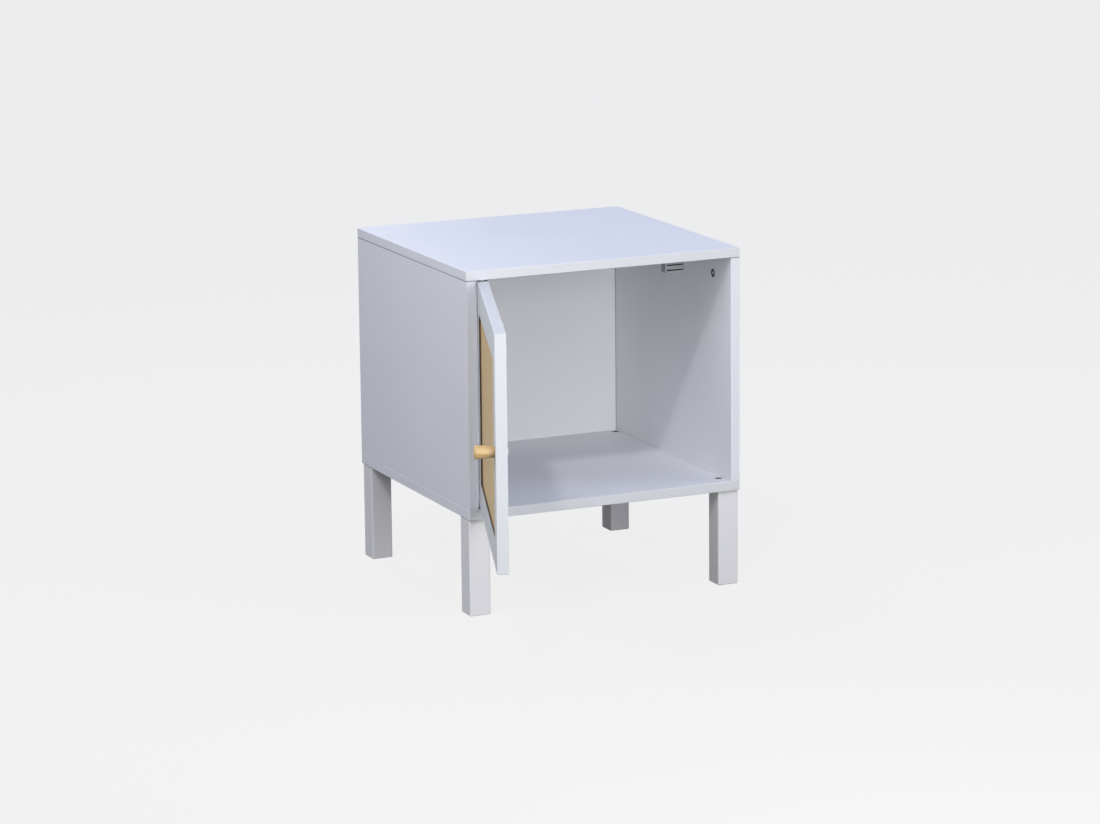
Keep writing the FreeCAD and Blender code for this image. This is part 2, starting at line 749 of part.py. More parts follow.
# Door frame: two stiles of full height with two rails between them. A rebate behind the opening holds the
# infill, so the frame's front lip stands in front of the cane by the recess depth.
def stile(label, free):
    piece = new_body(label)
    low_x = f"{FREE_EDGE} - frame_width" if free else "-pivot_from_edge"
    pad(piece, "+z", (low_x, f"-{DOOR_FACE}", "0"), rectangle("frame_width", "door_thick"), DOOR_HEIGHT)
    if free:
        dress(piece, "Fillet", "door_round", lambda edge, box: edge.XMax > box.XMin + 0.01)
    else:
        dress(piece, "Fillet", "door_round", lambda edge, box: edge.XMin < box.XMax - 0.01)
    rebate_x = f"{FREE_EDGE} - frame_width" if free else f"{OPENING_X} - rebate_width"
    cut(
        piece,
        "-y",
        (rebate_x, DOOR_INSIDE, "frame_width - rebate_width"),
        rectangle("rebate_width", f"{OPENING_HEIGHT} + 2 * rebate_width"),
        REBATE_DEPTH,
    )
    dowel_x = f"{FREE_EDGE} - frame_width" if free else OPENING_X
    first = "frame_dowel_from_edge"
    second = "frame_dowel_spacing"
    cut(
        piece,
        "+x" if free else "-x",
        (dowel_x, f"{DOOR_INSIDE} - door_thick / 2", first),
        circles(
            "frame_dowel_dia / 2 + thread_clear",
            ("0", "0"),
            ("0", second),
            ("0", f"{DOOR_HEIGHT} - 2 * {first} - {second}"),
            ("0", f"{DOOR_HEIGHT} - 2 * {first}"),
        ),
        "frame_dowel_length / 2",
    )
    if free:
        knob_spot = (KNOB_X, f"-{DOOR_FACE}", f"{DOOR_HEIGHT} / 2")
        cut(piece, "+y", knob_spot, circles(KNOB_SCREW_HOLE), "door_thick")
    else:
        for toward, level in (("+z", "0"), ("-z", DOOR_HEIGHT)):
            cut(piece, toward, ("0", "0", level), circles("pivot_dia / 2"), "pivot_in_door")
    node(hang(piece))


def rail(label, top):
    piece = new_body(label)
    low_z = f"{DOOR_HEIGHT} - frame_width" if top else "0"
    corner = (OPENING_X, f"-{DOOR_FACE}", low_z)
    pad(piece, "+z", corner, rectangle(OPENING_WIDTH, "door_thick"), "frame_width")
    if top:
        dress(piece, "Fillet", "door_round", lambda edge, box: edge.ZMin > box.ZMax - 0.01)
    else:
        dress(piece, "Fillet", "door_round", lambda edge, box: edge.ZMax < box.ZMin + 0.01)
    rebate_z = low_z if top else "frame_width - rebate_width"
    rebate = rectangle(OPENING_WIDTH, "rebate_width")
    cut(piece, "-y", (OPENING_X, DOOR_INSIDE, rebate_z), rebate, REBATE_DEPTH)
    first_z = "frame_dowel_from_edge"
    if top:
        first_z = f"{DOOR_HEIGHT} - frame_dowel_from_edge - frame_dowel_spacing"
    dowels = circles("frame_dowel_dia / 2 + thread_clear", ("0", "0"), ("0", "frame_dowel_spacing"))
    for toward, end_x in (("+x", OPENING_X), ("-x", f"{OPENING_X} + {OPENING_WIDTH}")):
        spot = (end_x, f"{DOOR_INSIDE} - door_thick / 2", first_z)
        cut(piece, toward, spot, dowels, "frame_dowel_length / 2")
    if top:
        screws = circles("strike_screw_dia / 2 + thread_clear", ("0", "0"), ("strike_screw_spacing", "0"))
        spot = (f"{STRIKE_X} - strike_screw_spacing / 2", DOOR_INSIDE, STRIKE_Z)
        cut(piece, "-y", spot, screws, "strike_screw_length")
    node(hang(piece))


def frame_dowels():
    piece = new_body("frame_dowel")
    spot = (
        f"{OPENING_X} - frame_dowel_length / 2 + dowel_end_clear",
        f"{DOOR_INSIDE} - door_thick / 2",
        "frame_dowel_from_edge",
    )
    peg = circles("frame_dowel_dia / 2", ("0", "0"), ("0", "frame_dowel_spacing"))
    piece.AllowCompound = True
    pad(piece, "+x", spot, peg, "frame_dowel_length - 2 * dowel_end_clear")
    hang(group("frame_dowels", piece, ("x", DOOR_MIDDLE), ("z", f"{DOOR_HEIGHT} / 2")))


# Infill: woven cane on a thin board, both in the frame's rebate.
def infill(label, front_y, thick):
    piece = new_body(label)
    corner = (f"{OPENING_X} - rebate_width + rebate_clear", front_y, INFILL_FOOT)
    pad(piece, "+y", corner, rectangle(INFILL_WIDTH, INFILL_HEIGHT), thick)
    node(hang(piece))


# Beads: four strips pinned in the rebate behind the board, flush with the frame's back.
def infill_beads():
    upright_bead = new_body("bead_upright")
    flat_bead = new_body("bead_flat")
    width = "(rebate_width - rebate_clear)"
    front_y = f"{DOOR_INSIDE} - {BEAD_THICK}"
    corner = (f"{OPENING_X} - {width}", front_y, INFILL_FOOT)
    pad(upright_bead, "+y", corner, rectangle(width, INFILL_HEIGHT), BEAD_THICK)
    pad(flat_bead, "+y", (OPENING_X, front_y, INFILL_FOOT), rectangle(OPENING_WIDTH, width), BEAD_THICK)
    strips = [
        upright_bead,
        mirror_copy(upright_bead, "x", DOOR_MIDDLE),
        flat_bead,
        mirror_copy(flat_bead, "z", f"{DOOR_HEIGHT} / 2"),
    ]
    whole = doc.addObject("Part::Compound", "infill_beads")
    whole.Label = "infill_beads"
    whole.Links = strips
    node(hang(whole))


# Pivot pins: steel, driven into the ends of the hinge stile.
def pivot_pin(label, low_z):
    piece = new_body(label)
    length = "pivot_in_door + door_gap + pivot_in_bush"
    pad(piece, "+z", ("0", "0", low_z), circles("pivot_dia / 2"), length)
    dress(piece, "Chamfer", "pivot_chamfer", lambda edge, box: edge.ZLength < 0.01)
    node(hang(piece))


# Knob: turned wood, wider towards its rounded outer end, with a screw from inside the door.
def knob():
    piece = new_body("knob")
    outer_end = (KNOB_X, f"-({DOOR_FACE} + knob_length)", f"{DOOR_HEIGHT} / 2")
    base = (KNOB_X, f"-{DOOR_FACE}", f"{DOOR_HEIGHT} / 2")
    turned(
        piece,
        "z",
        outer_end,
        ("0", "0"),
        ("knob_end_dia / 2", "0"),
        ("knob_base_dia / 2", "knob_length"),
        ("0", "knob_length"),
    )
    dress(piece, "Fillet", "knob_end_round", lambda edge, box: edge.YMax < box.YMin + 0.01)
    cut(piece, "-y", base, circles(KNOB_SCREW_HOLE), "knob_screw_in_knob + dowel_end_clear")
    node(hang(piece))


def knob_screw():
    piece = new_body("knob_screw")
    spot = (KNOB_X, f"-({DOOR_FACE} + knob_screw_in_knob)", f"{DOOR_HEIGHT} / 2")
    length = "(knob_screw_in_knob + door_thick)"
    turned(
        piece,
        "z",
        spot,
        ("0", "0"),
        ("knob_screw_dia / 2", "0"),
        ("knob_screw_dia / 2", length),
        ("knob_screw_head_dia / 2", length),
        ("knob_screw_head_dia / 2", f"{length} + knob_screw_head_high / 2"),
        ("knob_screw_head_dia / 2 * 0.7", f"{length} + knob_screw_head_high"),
        ("0", f"{length} + knob_screw_head_high"),
    )
    node(hang(piece))


# Strike plate: steel, with two countersunk screws into the top rail.
def strike_plate():
    piece = new_body("strike_plate")
    corner = (f"{STRIKE_X} - strike_width / 2", DOOR_INSIDE, f"{STRIKE_Z} - strike_height / 2")
    pad(piece, "+y", corner, rectangle("strike_width", "strike_height"), "strike_thick")
    dress(piece, "Fillet", "panel_round", lambda edge, box: edge.YLength > 0.9 * box.YLength)
    holes = circles("strike_screw_head_dia / 2 + thread_clear", ("0", "0"), ("strike_screw_spacing", "0"))
    spot = (f"{STRIKE_X} - strike_screw_spacing / 2", DOOR_INSIDE, STRIKE_Z)
    cut(piece, "+y", spot, holes, "strike_thick")
    node(hang(piece))


def strike_screws():
    piece = new_body("strike_screw")
    spot = (
        f"{STRIKE_X} + strike_screw_spacing / 2",
        f"{DOOR_INSIDE} - strike_screw_length + dowel_end_clear",
        STRIKE_Z,
    )
    length = "(strike_screw_length - dowel_end_clear)"
    turned(
        piece,
        "z",
        spot,
        ("0", "0"),
        ("strike_screw_dia / 2", "strike_screw_dia"),
        ("strike_screw_dia / 2", length),
        ("strike_screw_head_dia / 2", length),
        ("strike_screw_head_dia / 2", f"{length} + strike_thick"),
        ("0", f"{length} + strike_thick"),
    )
    hang(group("strike_screws", piece, ("x", STRIKE_X)))


top_panel()
bottom_panel()
side_panel("left_side_panel", "-")
side_panel("right_side_panel", "")
back_panel()
for end_name, end in (("front", "-"), ("back", "")):
    for side_name, side in (("left", "-"), ("right", "")):
        leg(f"leg_{end_name}_{side_name}", side, end)
leg_inserts()
leg_bolts()
cam_locks()
cam_bolts()
panel_dowels("top_dowels", UNDER_TOP, "(dowel_length - dowel_in_panel)")
panel_dowels("bottom_dowels", CABINET_FLOOR, "(dowel_in_panel - dowel_end_clear)")
side_screws()
catch_housing()
catch_magnet()
catch_poles()
catch_screws()
pivot_bush("upper_pivot_bush", UNDER_TOP, True)
pivot_bush("lower_pivot_bush", CABINET_FLOOR, False)
stile("door_hinge_stile", False)
stile("door_free_stile", True)
rail("door_top_rail", True)
rail("door_bottom_rail", False)
frame_dowels()
infill("cane_panel", f"-{CANE_FACE}", "cane_thick")
infill("door_back_board", f"-{CANE_FACE} + cane_thick", "board_thick")
infill_beads()
pivot_pin("upper_pivot_pin", f"{DOOR_HEIGHT} - pivot_in_door")
pivot_pin("lower_pivot_pin", "-(door_gap + pivot_in_bush)")
knob()
knob_screw()
strike_plate()
strike_screws()
doc.recompute()

for item in doc.Objects:
    if "Invalid" in item.State or "Error" in item.State:
        raise RuntimeError(f"{item.Label} failed: {item.State}")
for piece in nodes:
    if piece.Shape.isNull() or not piece.Shape.isValid() or not piece.Shape.Solids:
        raise RuntimeError(f"{piece.Label} has no valid shape")

os.makedirs("parts", exist_ok=True)
for piece in nodes:
    piece.Shape.exportStep(f"parts/{piece.Label}.step")
    print(f"{piece.Label}: {len(piece.Shape.Solids)} solids, {piece.Shape.Volume / 1000:.2f} cm3")
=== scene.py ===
import json
import math
import random

import bmesh
import bpy
from mathutils import Matrix, Vector


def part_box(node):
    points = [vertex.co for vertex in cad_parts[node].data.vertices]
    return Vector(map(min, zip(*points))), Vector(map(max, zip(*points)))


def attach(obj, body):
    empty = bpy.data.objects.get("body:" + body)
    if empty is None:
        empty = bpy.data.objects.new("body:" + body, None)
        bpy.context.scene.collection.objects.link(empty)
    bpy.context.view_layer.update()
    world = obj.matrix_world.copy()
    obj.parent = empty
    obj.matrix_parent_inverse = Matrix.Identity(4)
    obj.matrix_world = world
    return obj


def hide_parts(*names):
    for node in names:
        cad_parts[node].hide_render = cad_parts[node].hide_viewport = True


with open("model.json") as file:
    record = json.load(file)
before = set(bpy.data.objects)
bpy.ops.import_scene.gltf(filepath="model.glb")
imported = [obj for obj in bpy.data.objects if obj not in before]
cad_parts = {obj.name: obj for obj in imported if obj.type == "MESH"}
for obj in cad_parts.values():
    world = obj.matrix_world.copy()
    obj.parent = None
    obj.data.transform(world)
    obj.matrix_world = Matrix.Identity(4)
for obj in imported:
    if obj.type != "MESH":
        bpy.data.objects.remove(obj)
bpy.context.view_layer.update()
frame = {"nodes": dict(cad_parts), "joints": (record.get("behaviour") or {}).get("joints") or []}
nodes = frame["nodes"]


# ---- Boards of the box -------------------------------------------------------------------------------------
# Top, bottom, two sides and a thin back: fibreboard sprayed with cool white satin lacquer, which leaves a
# fine orange peel. Painted shade darkens it by a tenth on the front edges of top and bottom, and along
# joints.

LACQUER_WHITE = (0.86, 0.865, 0.885, 1)
LACQUER_SHADE = (0.835, 0.84, 0.865, 1)
LACQUER_ROUGHNESS = (0.50, 0.58)
DRIFT_PER_METRE = 5
GLOSS_PER_METRE = 20
PEEL_PER_METRE = 650
PEEL_HEIGHT = 0.00002
# Painted shade along the seams and corners, and on the front edges of top and bottom:
JOINT_BELOW = 0.0009
JOINT_ABOVE = 0.0006
JOINT_AT_BACK = 0.0012
PAINTED_SEAM_SHADE = (0.42, 0.42, 0.43, 1)
PAINTED_EDGE_SHADE = (0.90, 0.90, 0.88, 1)
EDGE_DEEP = 0.0003
NOISE_ENDS = (0.3, 0.7)
NO_SHADE = (1, 1, 1, 1)


def bare_material(name):
    """A node material with nothing but its output."""
    material = bpy.data.materials.new(name)
    material.use_nodes = True
    tree = material.node_tree
    tree.nodes.clear()
    return material, tree, tree.nodes.new("ShaderNodeOutputMaterial")


def new_material(name):
    """A node material, with its shader and its output joined."""
    material, tree, output = bare_material(name)
    shader = tree.nodes.new("ShaderNodeBsdfPrincipled")
    tree.links.new(shader.outputs["BSDF"], output.inputs["Surface"])
    return material, tree, shader


def object_place(tree, scale=(1, 1, 1), turn=(0, 0, 0), centre=(0, 0, 0)):
    """Object coordinates about a centre, turned and then scaled."""
    place = tree.nodes.new("ShaderNodeTexCoord")
    mapping = tree.nodes.new("ShaderNodeMapping")
    mapping.vector_type = "TEXTURE"
    mapping.inputs["Location"].default_value = centre
    mapping.inputs["Rotation"].default_value = turn
    mapping.inputs["Scale"].default_value = [1 / share for share in scale]
    tree.links.new(place.outputs["Object"], mapping.inputs["Vector"])
    return mapping.outputs["Vector"]


def noise(tree, place, per_metre, detail, roughness=0.5):
    """Noise with so many cells to the metre."""
    texture = tree.nodes.new("ShaderNodeTexNoise")
    texture.inputs["Scale"].default_value = per_metre
    texture.inputs["Detail"].default_value = detail
    texture.inputs["Roughness"].default_value = roughness
    tree.links.new(place, texture.inputs["Vector"])
    return texture.outputs["Fac"]


def between_colours(tree, value, low, high, ends=NOISE_ENDS):
    """A value turned into a colour between two."""
    colours = tree.nodes.new("ShaderNodeValToRGB")
    for mark, end, colour in zip(colours.color_ramp.elements, ends, (low, high)):
        mark.position = end
        mark.color = colour
    tree.links.new(value, colours.inputs["Fac"])
    return colours.outputs["Color"]


def between_numbers(tree, value, low, high):
    """A value turned into a number between two."""
    numbers = tree.nodes.new("ShaderNodeMapRange")
    numbers.inputs["From Min"].default_value = NOISE_ENDS[0]
    numbers.inputs["From Max"].default_value = NOISE_ENDS[1]
    numbers.inputs["To Min"].default_value = low
    numbers.inputs["To Max"].default_value = high
    tree.links.new(value, numbers.inputs["Value"])
    return numbers.outputs["Result"]


def add_bump(tree, shader, height, metres, before=None):
    """A bump whose full height is so many metres, on top of one that comes before it."""
    bump = tree.nodes.new("ShaderNodeBump")
    bump.inputs["Strength"].default_value = 1
    bump.inputs["Distance"].default_value = metres
    tree.links.new(height, bump.inputs["Height"])
    if before:
        tree.links.new(before, bump.inputs["Normal"])
    tree.links.new(bump.outputs["Normal"], shader.inputs["Normal"])
    return bump.outputs["Normal"]


def worked_out(tree, operation, first, second, clamp=False):
    """One sum on two values, of which the second may be a plain number."""
    node = tree.nodes.new("ShaderNodeMath")
    node.operation = operation
    node.use_clamp = clamp
    tree.links.new(first, node.inputs[0])
    if isinstance(second, float):
        node.inputs[1].default_value = second
    else:
        tree.links.new(second, node.inputs[1])
    return node.outputs["Value"]


def within(tree, value, low, high):
    """1 where a value lies between two limits, 0 elsewhere."""
    above = worked_out(tree, "GREATER_THAN", value, low)
    below = worked_out(tree, "LESS_THAN", value, high)
    return worked_out(tree, "MULTIPLY", above, below)


def axes_of(tree, place):
    """The X, Y and Z of a place."""
    parts = tree.nodes.new("ShaderNodeSeparateXYZ")
    tree.links.new(place, parts.inputs["Vector"])
    return parts.outputs["X"], parts.outputs["Y"], parts.outputs["Z"]


def times(tree, colour, other):
    """One colour multiplied by another."""
    product = tree.nodes.new("ShaderNodeMix")
    product.data_type = "RGBA"
    product.blend_type = "MULTIPLY"
    product.inputs["Factor"].default_value = 1
    tree.links.new(colour, product.inputs["A"])
    tree.links.new(other, product.inputs["B"])
    return product.outputs["Result"]


def satin_lacquer(name, white=LACQUER_WHITE, shade=LACQUER_SHADE):
    """Sprayed lacquer. Its tree, shader, colour and bump are given too, for a finish that goes on."""
    material, tree, shader = new_material(name)
    place = object_place(tree)
    drift = noise(tree, place, DRIFT_PER_METRE, detail=2)
    colour = between_colours(tree, drift, shade, white)
    tree.links.new(colour, shader.inputs["Base Color"])
    gloss = noise(tree, place, GLOSS_PER_METRE, detail=4)
    tree.links.new(between_numbers(tree, gloss, *LACQUER_ROUGHNESS), shader.inputs["Roughness"])
    peel = noise(tree, place, PEEL_PER_METRE, detail=2)
    normal = add_bump(tree, shader, peel, PEEL_HEIGHT)
    return material, tree, shader, colour, normal


def shade_band(lacquered, axis, low, high, shade=PAINTED_SEAM_SHADE):
    """Paint shade on a lacquer, darkening it where one of its axes lies between two limits."""
    material, tree, shader, colour, normal = lacquered
    band = within(tree, axes_of(tree, object_place(tree))["XYZ".index(axis)], low, high)
    darker = times(tree, colour, between_colours(tree, band, NO_SHADE, shade))
    tree.links.new(darker, shader.inputs["Base Color"])
    return material, tree, shader, darker, normal


def finish_nodes(material, *names):
    """Give a material to pieces of the construction that keep their shape."""
    for name in names:
        nodes[name].material_slots[0].material = material


top_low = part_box("top_panel")[0]
# Painted shade: a dark line along the seams under the top board, where shadow falls in the joint.
seam_shade_under_top = (top_low.z - JOINT_BELOW, top_low.z + JOINT_ABOVE)
side_finish = shade_band(satin_lacquer("board_lacquer"), "Z", *seam_shade_under_top)
board_lacquer = side_finish[0]
finish_nodes(board_lacquer, "left_side_panel", "right_side_panel")
edge_shaded_finish = shade_band(satin_lacquer("board_lacquer_painted_edge_shade"), "Z", *seam_shade_under_top)
# Painted shade a tenth deep on the front edges of the top and bottom boards.
edge_shaded_finish = shade_band(edge_shaded_finish, "Y", top_low.y - EDGE_DEEP, top_low.y + EDGE_DEEP, PAINTED_EDGE_SHADE)
finish_nodes(edge_shaded_finish[0], "top_panel", "bottom_panel")
# Painted shade: a dark line on the back board along its corner with the right side board.
right_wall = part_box("right_side_panel")[0].x
back_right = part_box("back_panel")[1].x
back_finish = shade_band(
    satin_lacquer("back_lacquer"), "X", right_wall - JOINT_AT_BACK, back_right + JOINT_AT_BACK
)
finish_nodes(back_finish[0], "back_panel")


# ---- Legs --------------------------------------------------------------------------------------------------
# Four square legs of solid rubberwood, rounded along their edges and sprayed in a slightly warmer white.
# The film sinks a little into the wood, so faint pores run along each leg. Painted shade darkens their tops.

LEG_WHITE = (0.89, 0.875, 0.86, 1)
LEG_SHADE = (0.86, 0.845, 0.835, 1)
PORES_PER_METRE = 900
PORE_STRETCH = 0.02
PORE_ROUGHNESS = 0.7
PORE_HEIGHT = 0.00004
LEG_JOINT_HIGH = 0.0008

leg_finish = satin_lacquer("leg_lacquer", LEG_WHITE, LEG_SHADE)
leg_lacquer, tree, shader, _, normal = leg_finish
pore_place = object_place(tree, scale=(1, 1, PORE_STRETCH))
pores = noise(tree, pore_place, PORES_PER_METRE, detail=4, roughness=PORE_ROUGHNESS)
add_bump(tree, shader, pores, PORE_HEIGHT, before=normal)
# Painted shade: a dark band at the top of each leg, under its joint with the bottom board.
legs_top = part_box("leg_front_left")[1].z
shade_band(leg_finish, "Z", legs_top - LEG_JOINT_HIGH, legs_top + LEG_JOINT_HIGH)
finish_nodes(leg_lacquer, "leg_front_left", "leg_front_right", "leg_back_left", "leg_back_right")


# ---- Leg bolts and their inserts ---------------------------------------------------------------------------
# Black oxide bolts with a hexagon socket, sunk just below the cabinet floor, one down into each leg. They
# screw into zinc-plated inserts in the legs' upper ends, which show only when a leg is off.

HEAD_DIA = 0.011
HEAD_HIGH = 0.0024
HEAD_ARRIS = 0.0006
HEAD_ARRIS_BEND = 0.00024
HEAD_ARRIS_WIDE = 0.00096
HEX_WIDE = 0.004
HEX_DEEP = 0.0016
SHANK_DIA = 0.006
SHANK_CHAMFER = 0.0007
TURNED_SIDES = 40
MERGED_WITHIN = 1e-7
SMOOTH_UNDER = math.radians(35)
BLACK_OXIDE = (0.045, 0.045, 0.05, 1)
BLACK_OXIDE_DARK = (0.02, 0.02, 0.022, 1)
BLACK_OXIDE_ROUGHNESS = 0.42
ZINC_PLATE = (0.62, 0.63, 0.65, 1)
ZINC_PLATE_DARK = (0.48, 0.49, 0.50, 1)
ZINC_PLATE_ROUGHNESS = 0.30
CLOUDS_PER_METRE = 220
CLOUD_ROUGHNESS = 0.6
CLOUD_DULLS = 0.08
CLOUD_BRIGHTENS = 0.06
MARKS_PER_CLOUD = 8
MARKS_HEIGHT = 0.000008


def metal(name, colour, dark, roughness, clouds_per_metre=CLOUDS_PER_METRE, metallic=1.0):
    """A metal whose colour and polish vary a little in clouds, with fine marks of its making."""
    material, tree, shader = new_material(name)
    shader.inputs["Metallic"].default_value = metallic
    place = object_place(tree)
    cloud = noise(tree, place, clouds_per_metre, detail=5, roughness=CLOUD_ROUGHNESS)
    tree.links.new(between_colours(tree, cloud, dark, colour), shader.inputs["Base Color"])
    polish = between_numbers(tree, cloud, roughness + CLOUD_DULLS, roughness - CLOUD_BRIGHTENS)
    tree.links.new(polish, shader.inputs["Roughness"])
    marks = noise(tree, place, MARKS_PER_CLOUD * clouds_per_metre, detail=2)
    add_bump(tree, shader, marks, MARKS_HEIGHT)
    return material


def turned_solid(points):
    """A solid of revolution about Z, from its (radius, height) points, first and last on the axis."""
    solid = bmesh.new()
    line = [solid.verts.new((radius, 0, height)) for radius, height in points]
    edges = [solid.edges.new(pair) for pair in zip(line, line[1:])]
    bmesh.ops.spin(
        solid,
        geom=line + edges,
        cent=(0, 0, 0),
        axis=(0, 0, 1),
        angle=2 * math.pi,
        steps=TURNED_SIDES,
        use_merge=True,
    )
    bmesh.ops.remove_doubles(solid, verts=solid.verts, dist=MERGED_WITHIN)
    bmesh.ops.recalc_face_normals(solid, faces=solid.faces)
    return solid


def new_object(name, data):
    """An object in the scene that holds a mesh, a lamp or a camera."""
    holder = bpy.data.objects.new(name, data)
    bpy.context.scene.collection.objects.link(holder)
    return holder


def cut_out(solid, tool):
    """Take a tool's shape out of a solid. The walls that it leaves keep the tool's material number."""
    body = new_object("body", bpy.data.meshes.new("body"))
    cutter = new_object("cutter", bpy.data.meshes.new("cutter"))
    for shape, holder in ((solid, body), (tool, cutter)):
        shape.to_mesh(holder.data)
        shape.free()
        # Two empty slots, because a cut keeps no material number past the last slot.
        holder.data.materials.append(None)
        holder.data.materials.append(None)
    boolean = body.modifiers.new("cut", "BOOLEAN")
    boolean.operation = "DIFFERENCE"
    boolean.solver = "EXACT"
    boolean.use_self = True
    boolean.object = cutter
    bpy.context.view_layer.update()
    left = bpy.data.meshes.new_from_object(body.evaluated_get(bpy.context.evaluated_depsgraph_get()))
    bpy.data.objects.remove(body)
    bpy.data.objects.remove(cutter)
    return left


def make_piece(name, meshes_and_places, materials, body, node=None):
    """One object from placed copies of meshes. It rides on a body, and may stand for a node."""
    whole = bmesh.new()
    for mesh, place in meshes_and_places:
        first_new = len(whole.verts)
        whole.from_mesh(mesh)
        whole.verts.ensure_lookup_table()
        bmesh.ops.transform(whole, matrix=place, verts=whole.verts[first_new:])
    data = bpy.data.meshes.new(name)
    whole.to_mesh(data)
    whole.free()
    data.shade_smooth()
    data.set_sharp_from_angle(angle=SMOOTH_UNDER)
    for material in materials:
        data.materials.append(material)
    piece = new_object(name, data)
    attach(piece, body)
    if node:
        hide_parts(node)


def centres(low, high, width):
    """Where the first and the last of a row of equal things have their middles."""
    return low + width / 2, high - width / 2


black_oxide = metal("black_oxide", BLACK_OXIDE, BLACK_OXIDE_DARK, BLACK_OXIDE_ROUGHNESS)
zinc_plate = metal("zinc_plate", ZINC_PLATE, ZINC_PLATE_DARK, ZINC_PLATE_ROUGHNESS)

bolts_low, bolts_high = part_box("leg_bolts")
bolt_length = bolts_high.z - bolts_low.z
bolt = turned_solid(
    (
        (0, -bolt_length),
        (SHANK_DIA / 2 - SHANK_CHAMFER, -bolt_length),
        (SHANK_DIA / 2, -bolt_length + SHANK_CHAMFER),
        (SHANK_DIA / 2, -HEAD_HIGH),
        (HEAD_DIA / 2, -HEAD_HIGH),
        (HEAD_DIA / 2, -HEAD_ARRIS),
        (HEAD_DIA / 2 - HEAD_ARRIS_BEND, -HEAD_ARRIS_BEND),
        (HEAD_DIA / 2 - HEAD_ARRIS_WIDE, 0),
        (0, 0),
    )
)
socket = bmesh.new()
bmesh.ops.create_cone(
    socket,
    cap_ends=True,
    segments=6,
    radius1=HEX_WIDE / math.sqrt(3),
    radius2=HEX_WIDE / math.sqrt(3),
    depth=2 * HEX_DEEP,
)
bolt_mesh = cut_out(bolt, socket)
bolt_places = [
    (bolt_mesh, Matrix.Translation((x, y, bolts_high.z)))
    for x in centres(bolts_low.x, bolts_high.x, HEAD_DIA)
    for y in centres(bolts_low.y, bolts_high.y, HEAD_DIA)
]
make_piece("socket_bolts", bolt_places, [black_oxide], "cabinet", "leg_bolts")
finish_nodes(zinc_plate, "leg_inserts")


# ---- Cam locks and cam bolts -------------------------------------------------------------------------------
# Cast zinc drums flush with the side boards' inner faces, two a side, turned with a cross screwdriver to
# draw the top down. Their cross slots are coloured a bright zinc. Their bolts are hidden.

CAM_RIM = 0.0007
CAM_DISH = 0.0004
CAM_ARRIS = 0.0002
SLOT_WIDE = 0.0014
SLOT_LONG = 0.0038
SLOT_DEEP = 0.0007
POINTER_RADIUS = 0.0009
POINTER_OUT = 0.0042
POINTER_DEEP = 0.0008
CAM_TURN = math.radians(12)
CAST_ZINC = (0.10, 0.105, 0.11, 1)
CAST_ZINC_DARK = (0.045, 0.05, 0.055, 1)
CAST_ZINC_ROUGHNESS = 0.55
CAST_ZINC_METALLIC = 0.3
BRIGHT_SLOT_ZINC = (0.80, 0.80, 0.82, 1)
BRIGHT_SLOT_ZINC_DARK = (0.60, 0.61, 0.62, 1)
BRIGHT_SLOT_ZINC_ROUGHNESS = 0.45
BRIGHT_SLOT_ZINC_METALLIC = 0.4
CASTING_CLOUDS_PER_METRE = 500


def crossed_blades(wide, long, deep):
    """The cutter of a cross recess: two blades through each other, half of each below z = 0."""
    blades = bmesh.new()
    for across, along in ((wide, long), (long, wide)):
        blade = bmesh.ops.create_cube(blades, size=1)["verts"]
        bmesh.ops.scale(blades, vec=(across, along, deep), verts=blade)
    return blades


cast_zinc = metal(
    "cast_zinc",
    CAST_ZINC,
    CAST_ZINC_DARK,
    CAST_ZINC_ROUGHNESS,
    CASTING_CLOUDS_PER_METRE,
    CAST_ZINC_METALLIC,
)
bright_slot_zinc = metal(
    "bright_slot_zinc",
    BRIGHT_SLOT_ZINC,
    BRIGHT_SLOT_ZINC_DARK,
    BRIGHT_SLOT_ZINC_ROUGHNESS,
    CASTING_CLOUDS_PER_METRE,
    BRIGHT_SLOT_ZINC_METALLIC,
)
cams_low, cams_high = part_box("cam_locks")
left_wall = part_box("left_side_panel")[1].x
cam_radius = (cams_high.z - cams_low.z) / 2
cam_deep = cams_high.x - right_wall
cam = turned_solid(
    (
        (0, -cam_deep),
        (cam_radius, -cam_deep),
        (cam_radius, -CAM_ARRIS),
        (cam_radius - CAM_ARRIS, 0),
        (cam_radius - CAM_RIM, 0),
        (cam_radius - CAM_RIM - CAM_ARRIS, -CAM_DISH),
        (0, -CAM_DISH),
    )
)
cross = crossed_blades(SLOT_WIDE, SLOT_LONG, 2 * SLOT_DEEP)
for face in cross.faces:
    face.material_index = 1
pointer = bmesh.ops.create_cone(
    cross,
    cap_ends=True,
    segments=3,
    radius1=POINTER_RADIUS,
    radius2=POINTER_RADIUS,
    depth=2 * POINTER_DEEP,
)["verts"]
bmesh.ops.translate(cross, vec=(0, POINTER_OUT, 0), verts=pointer)
cam_mesh = cut_out(cam, cross)
cam_places = []
for wall, side in ((left_wall, -1), (right_wall, 1)):
    facing = Matrix.Rotation(-side * math.pi / 2, 4, "Y") @ Matrix.Rotation(CAM_TURN, 4, "Z")
    for y in centres(cams_low.y, cams_high.y, 2 * cam_radius):
        centre = Vector((wall, y, cams_high.z - cam_radius))
        cam_places.append((cam_mesh, Matrix.Translation(centre) @ facing))
make_piece("cam_drums", cam_places, [cast_zinc, bright_slot_zinc], "cabinet", "cam_locks")
finish_nodes(zinc_plate, "cam_bolts")


# ---- Dowels ------------------------------------------------------------------------------------------------
# Raw turned beech pegs, glued in between the boards of the box and in the joints of the door frame. They are
# all hidden once the table is put together.

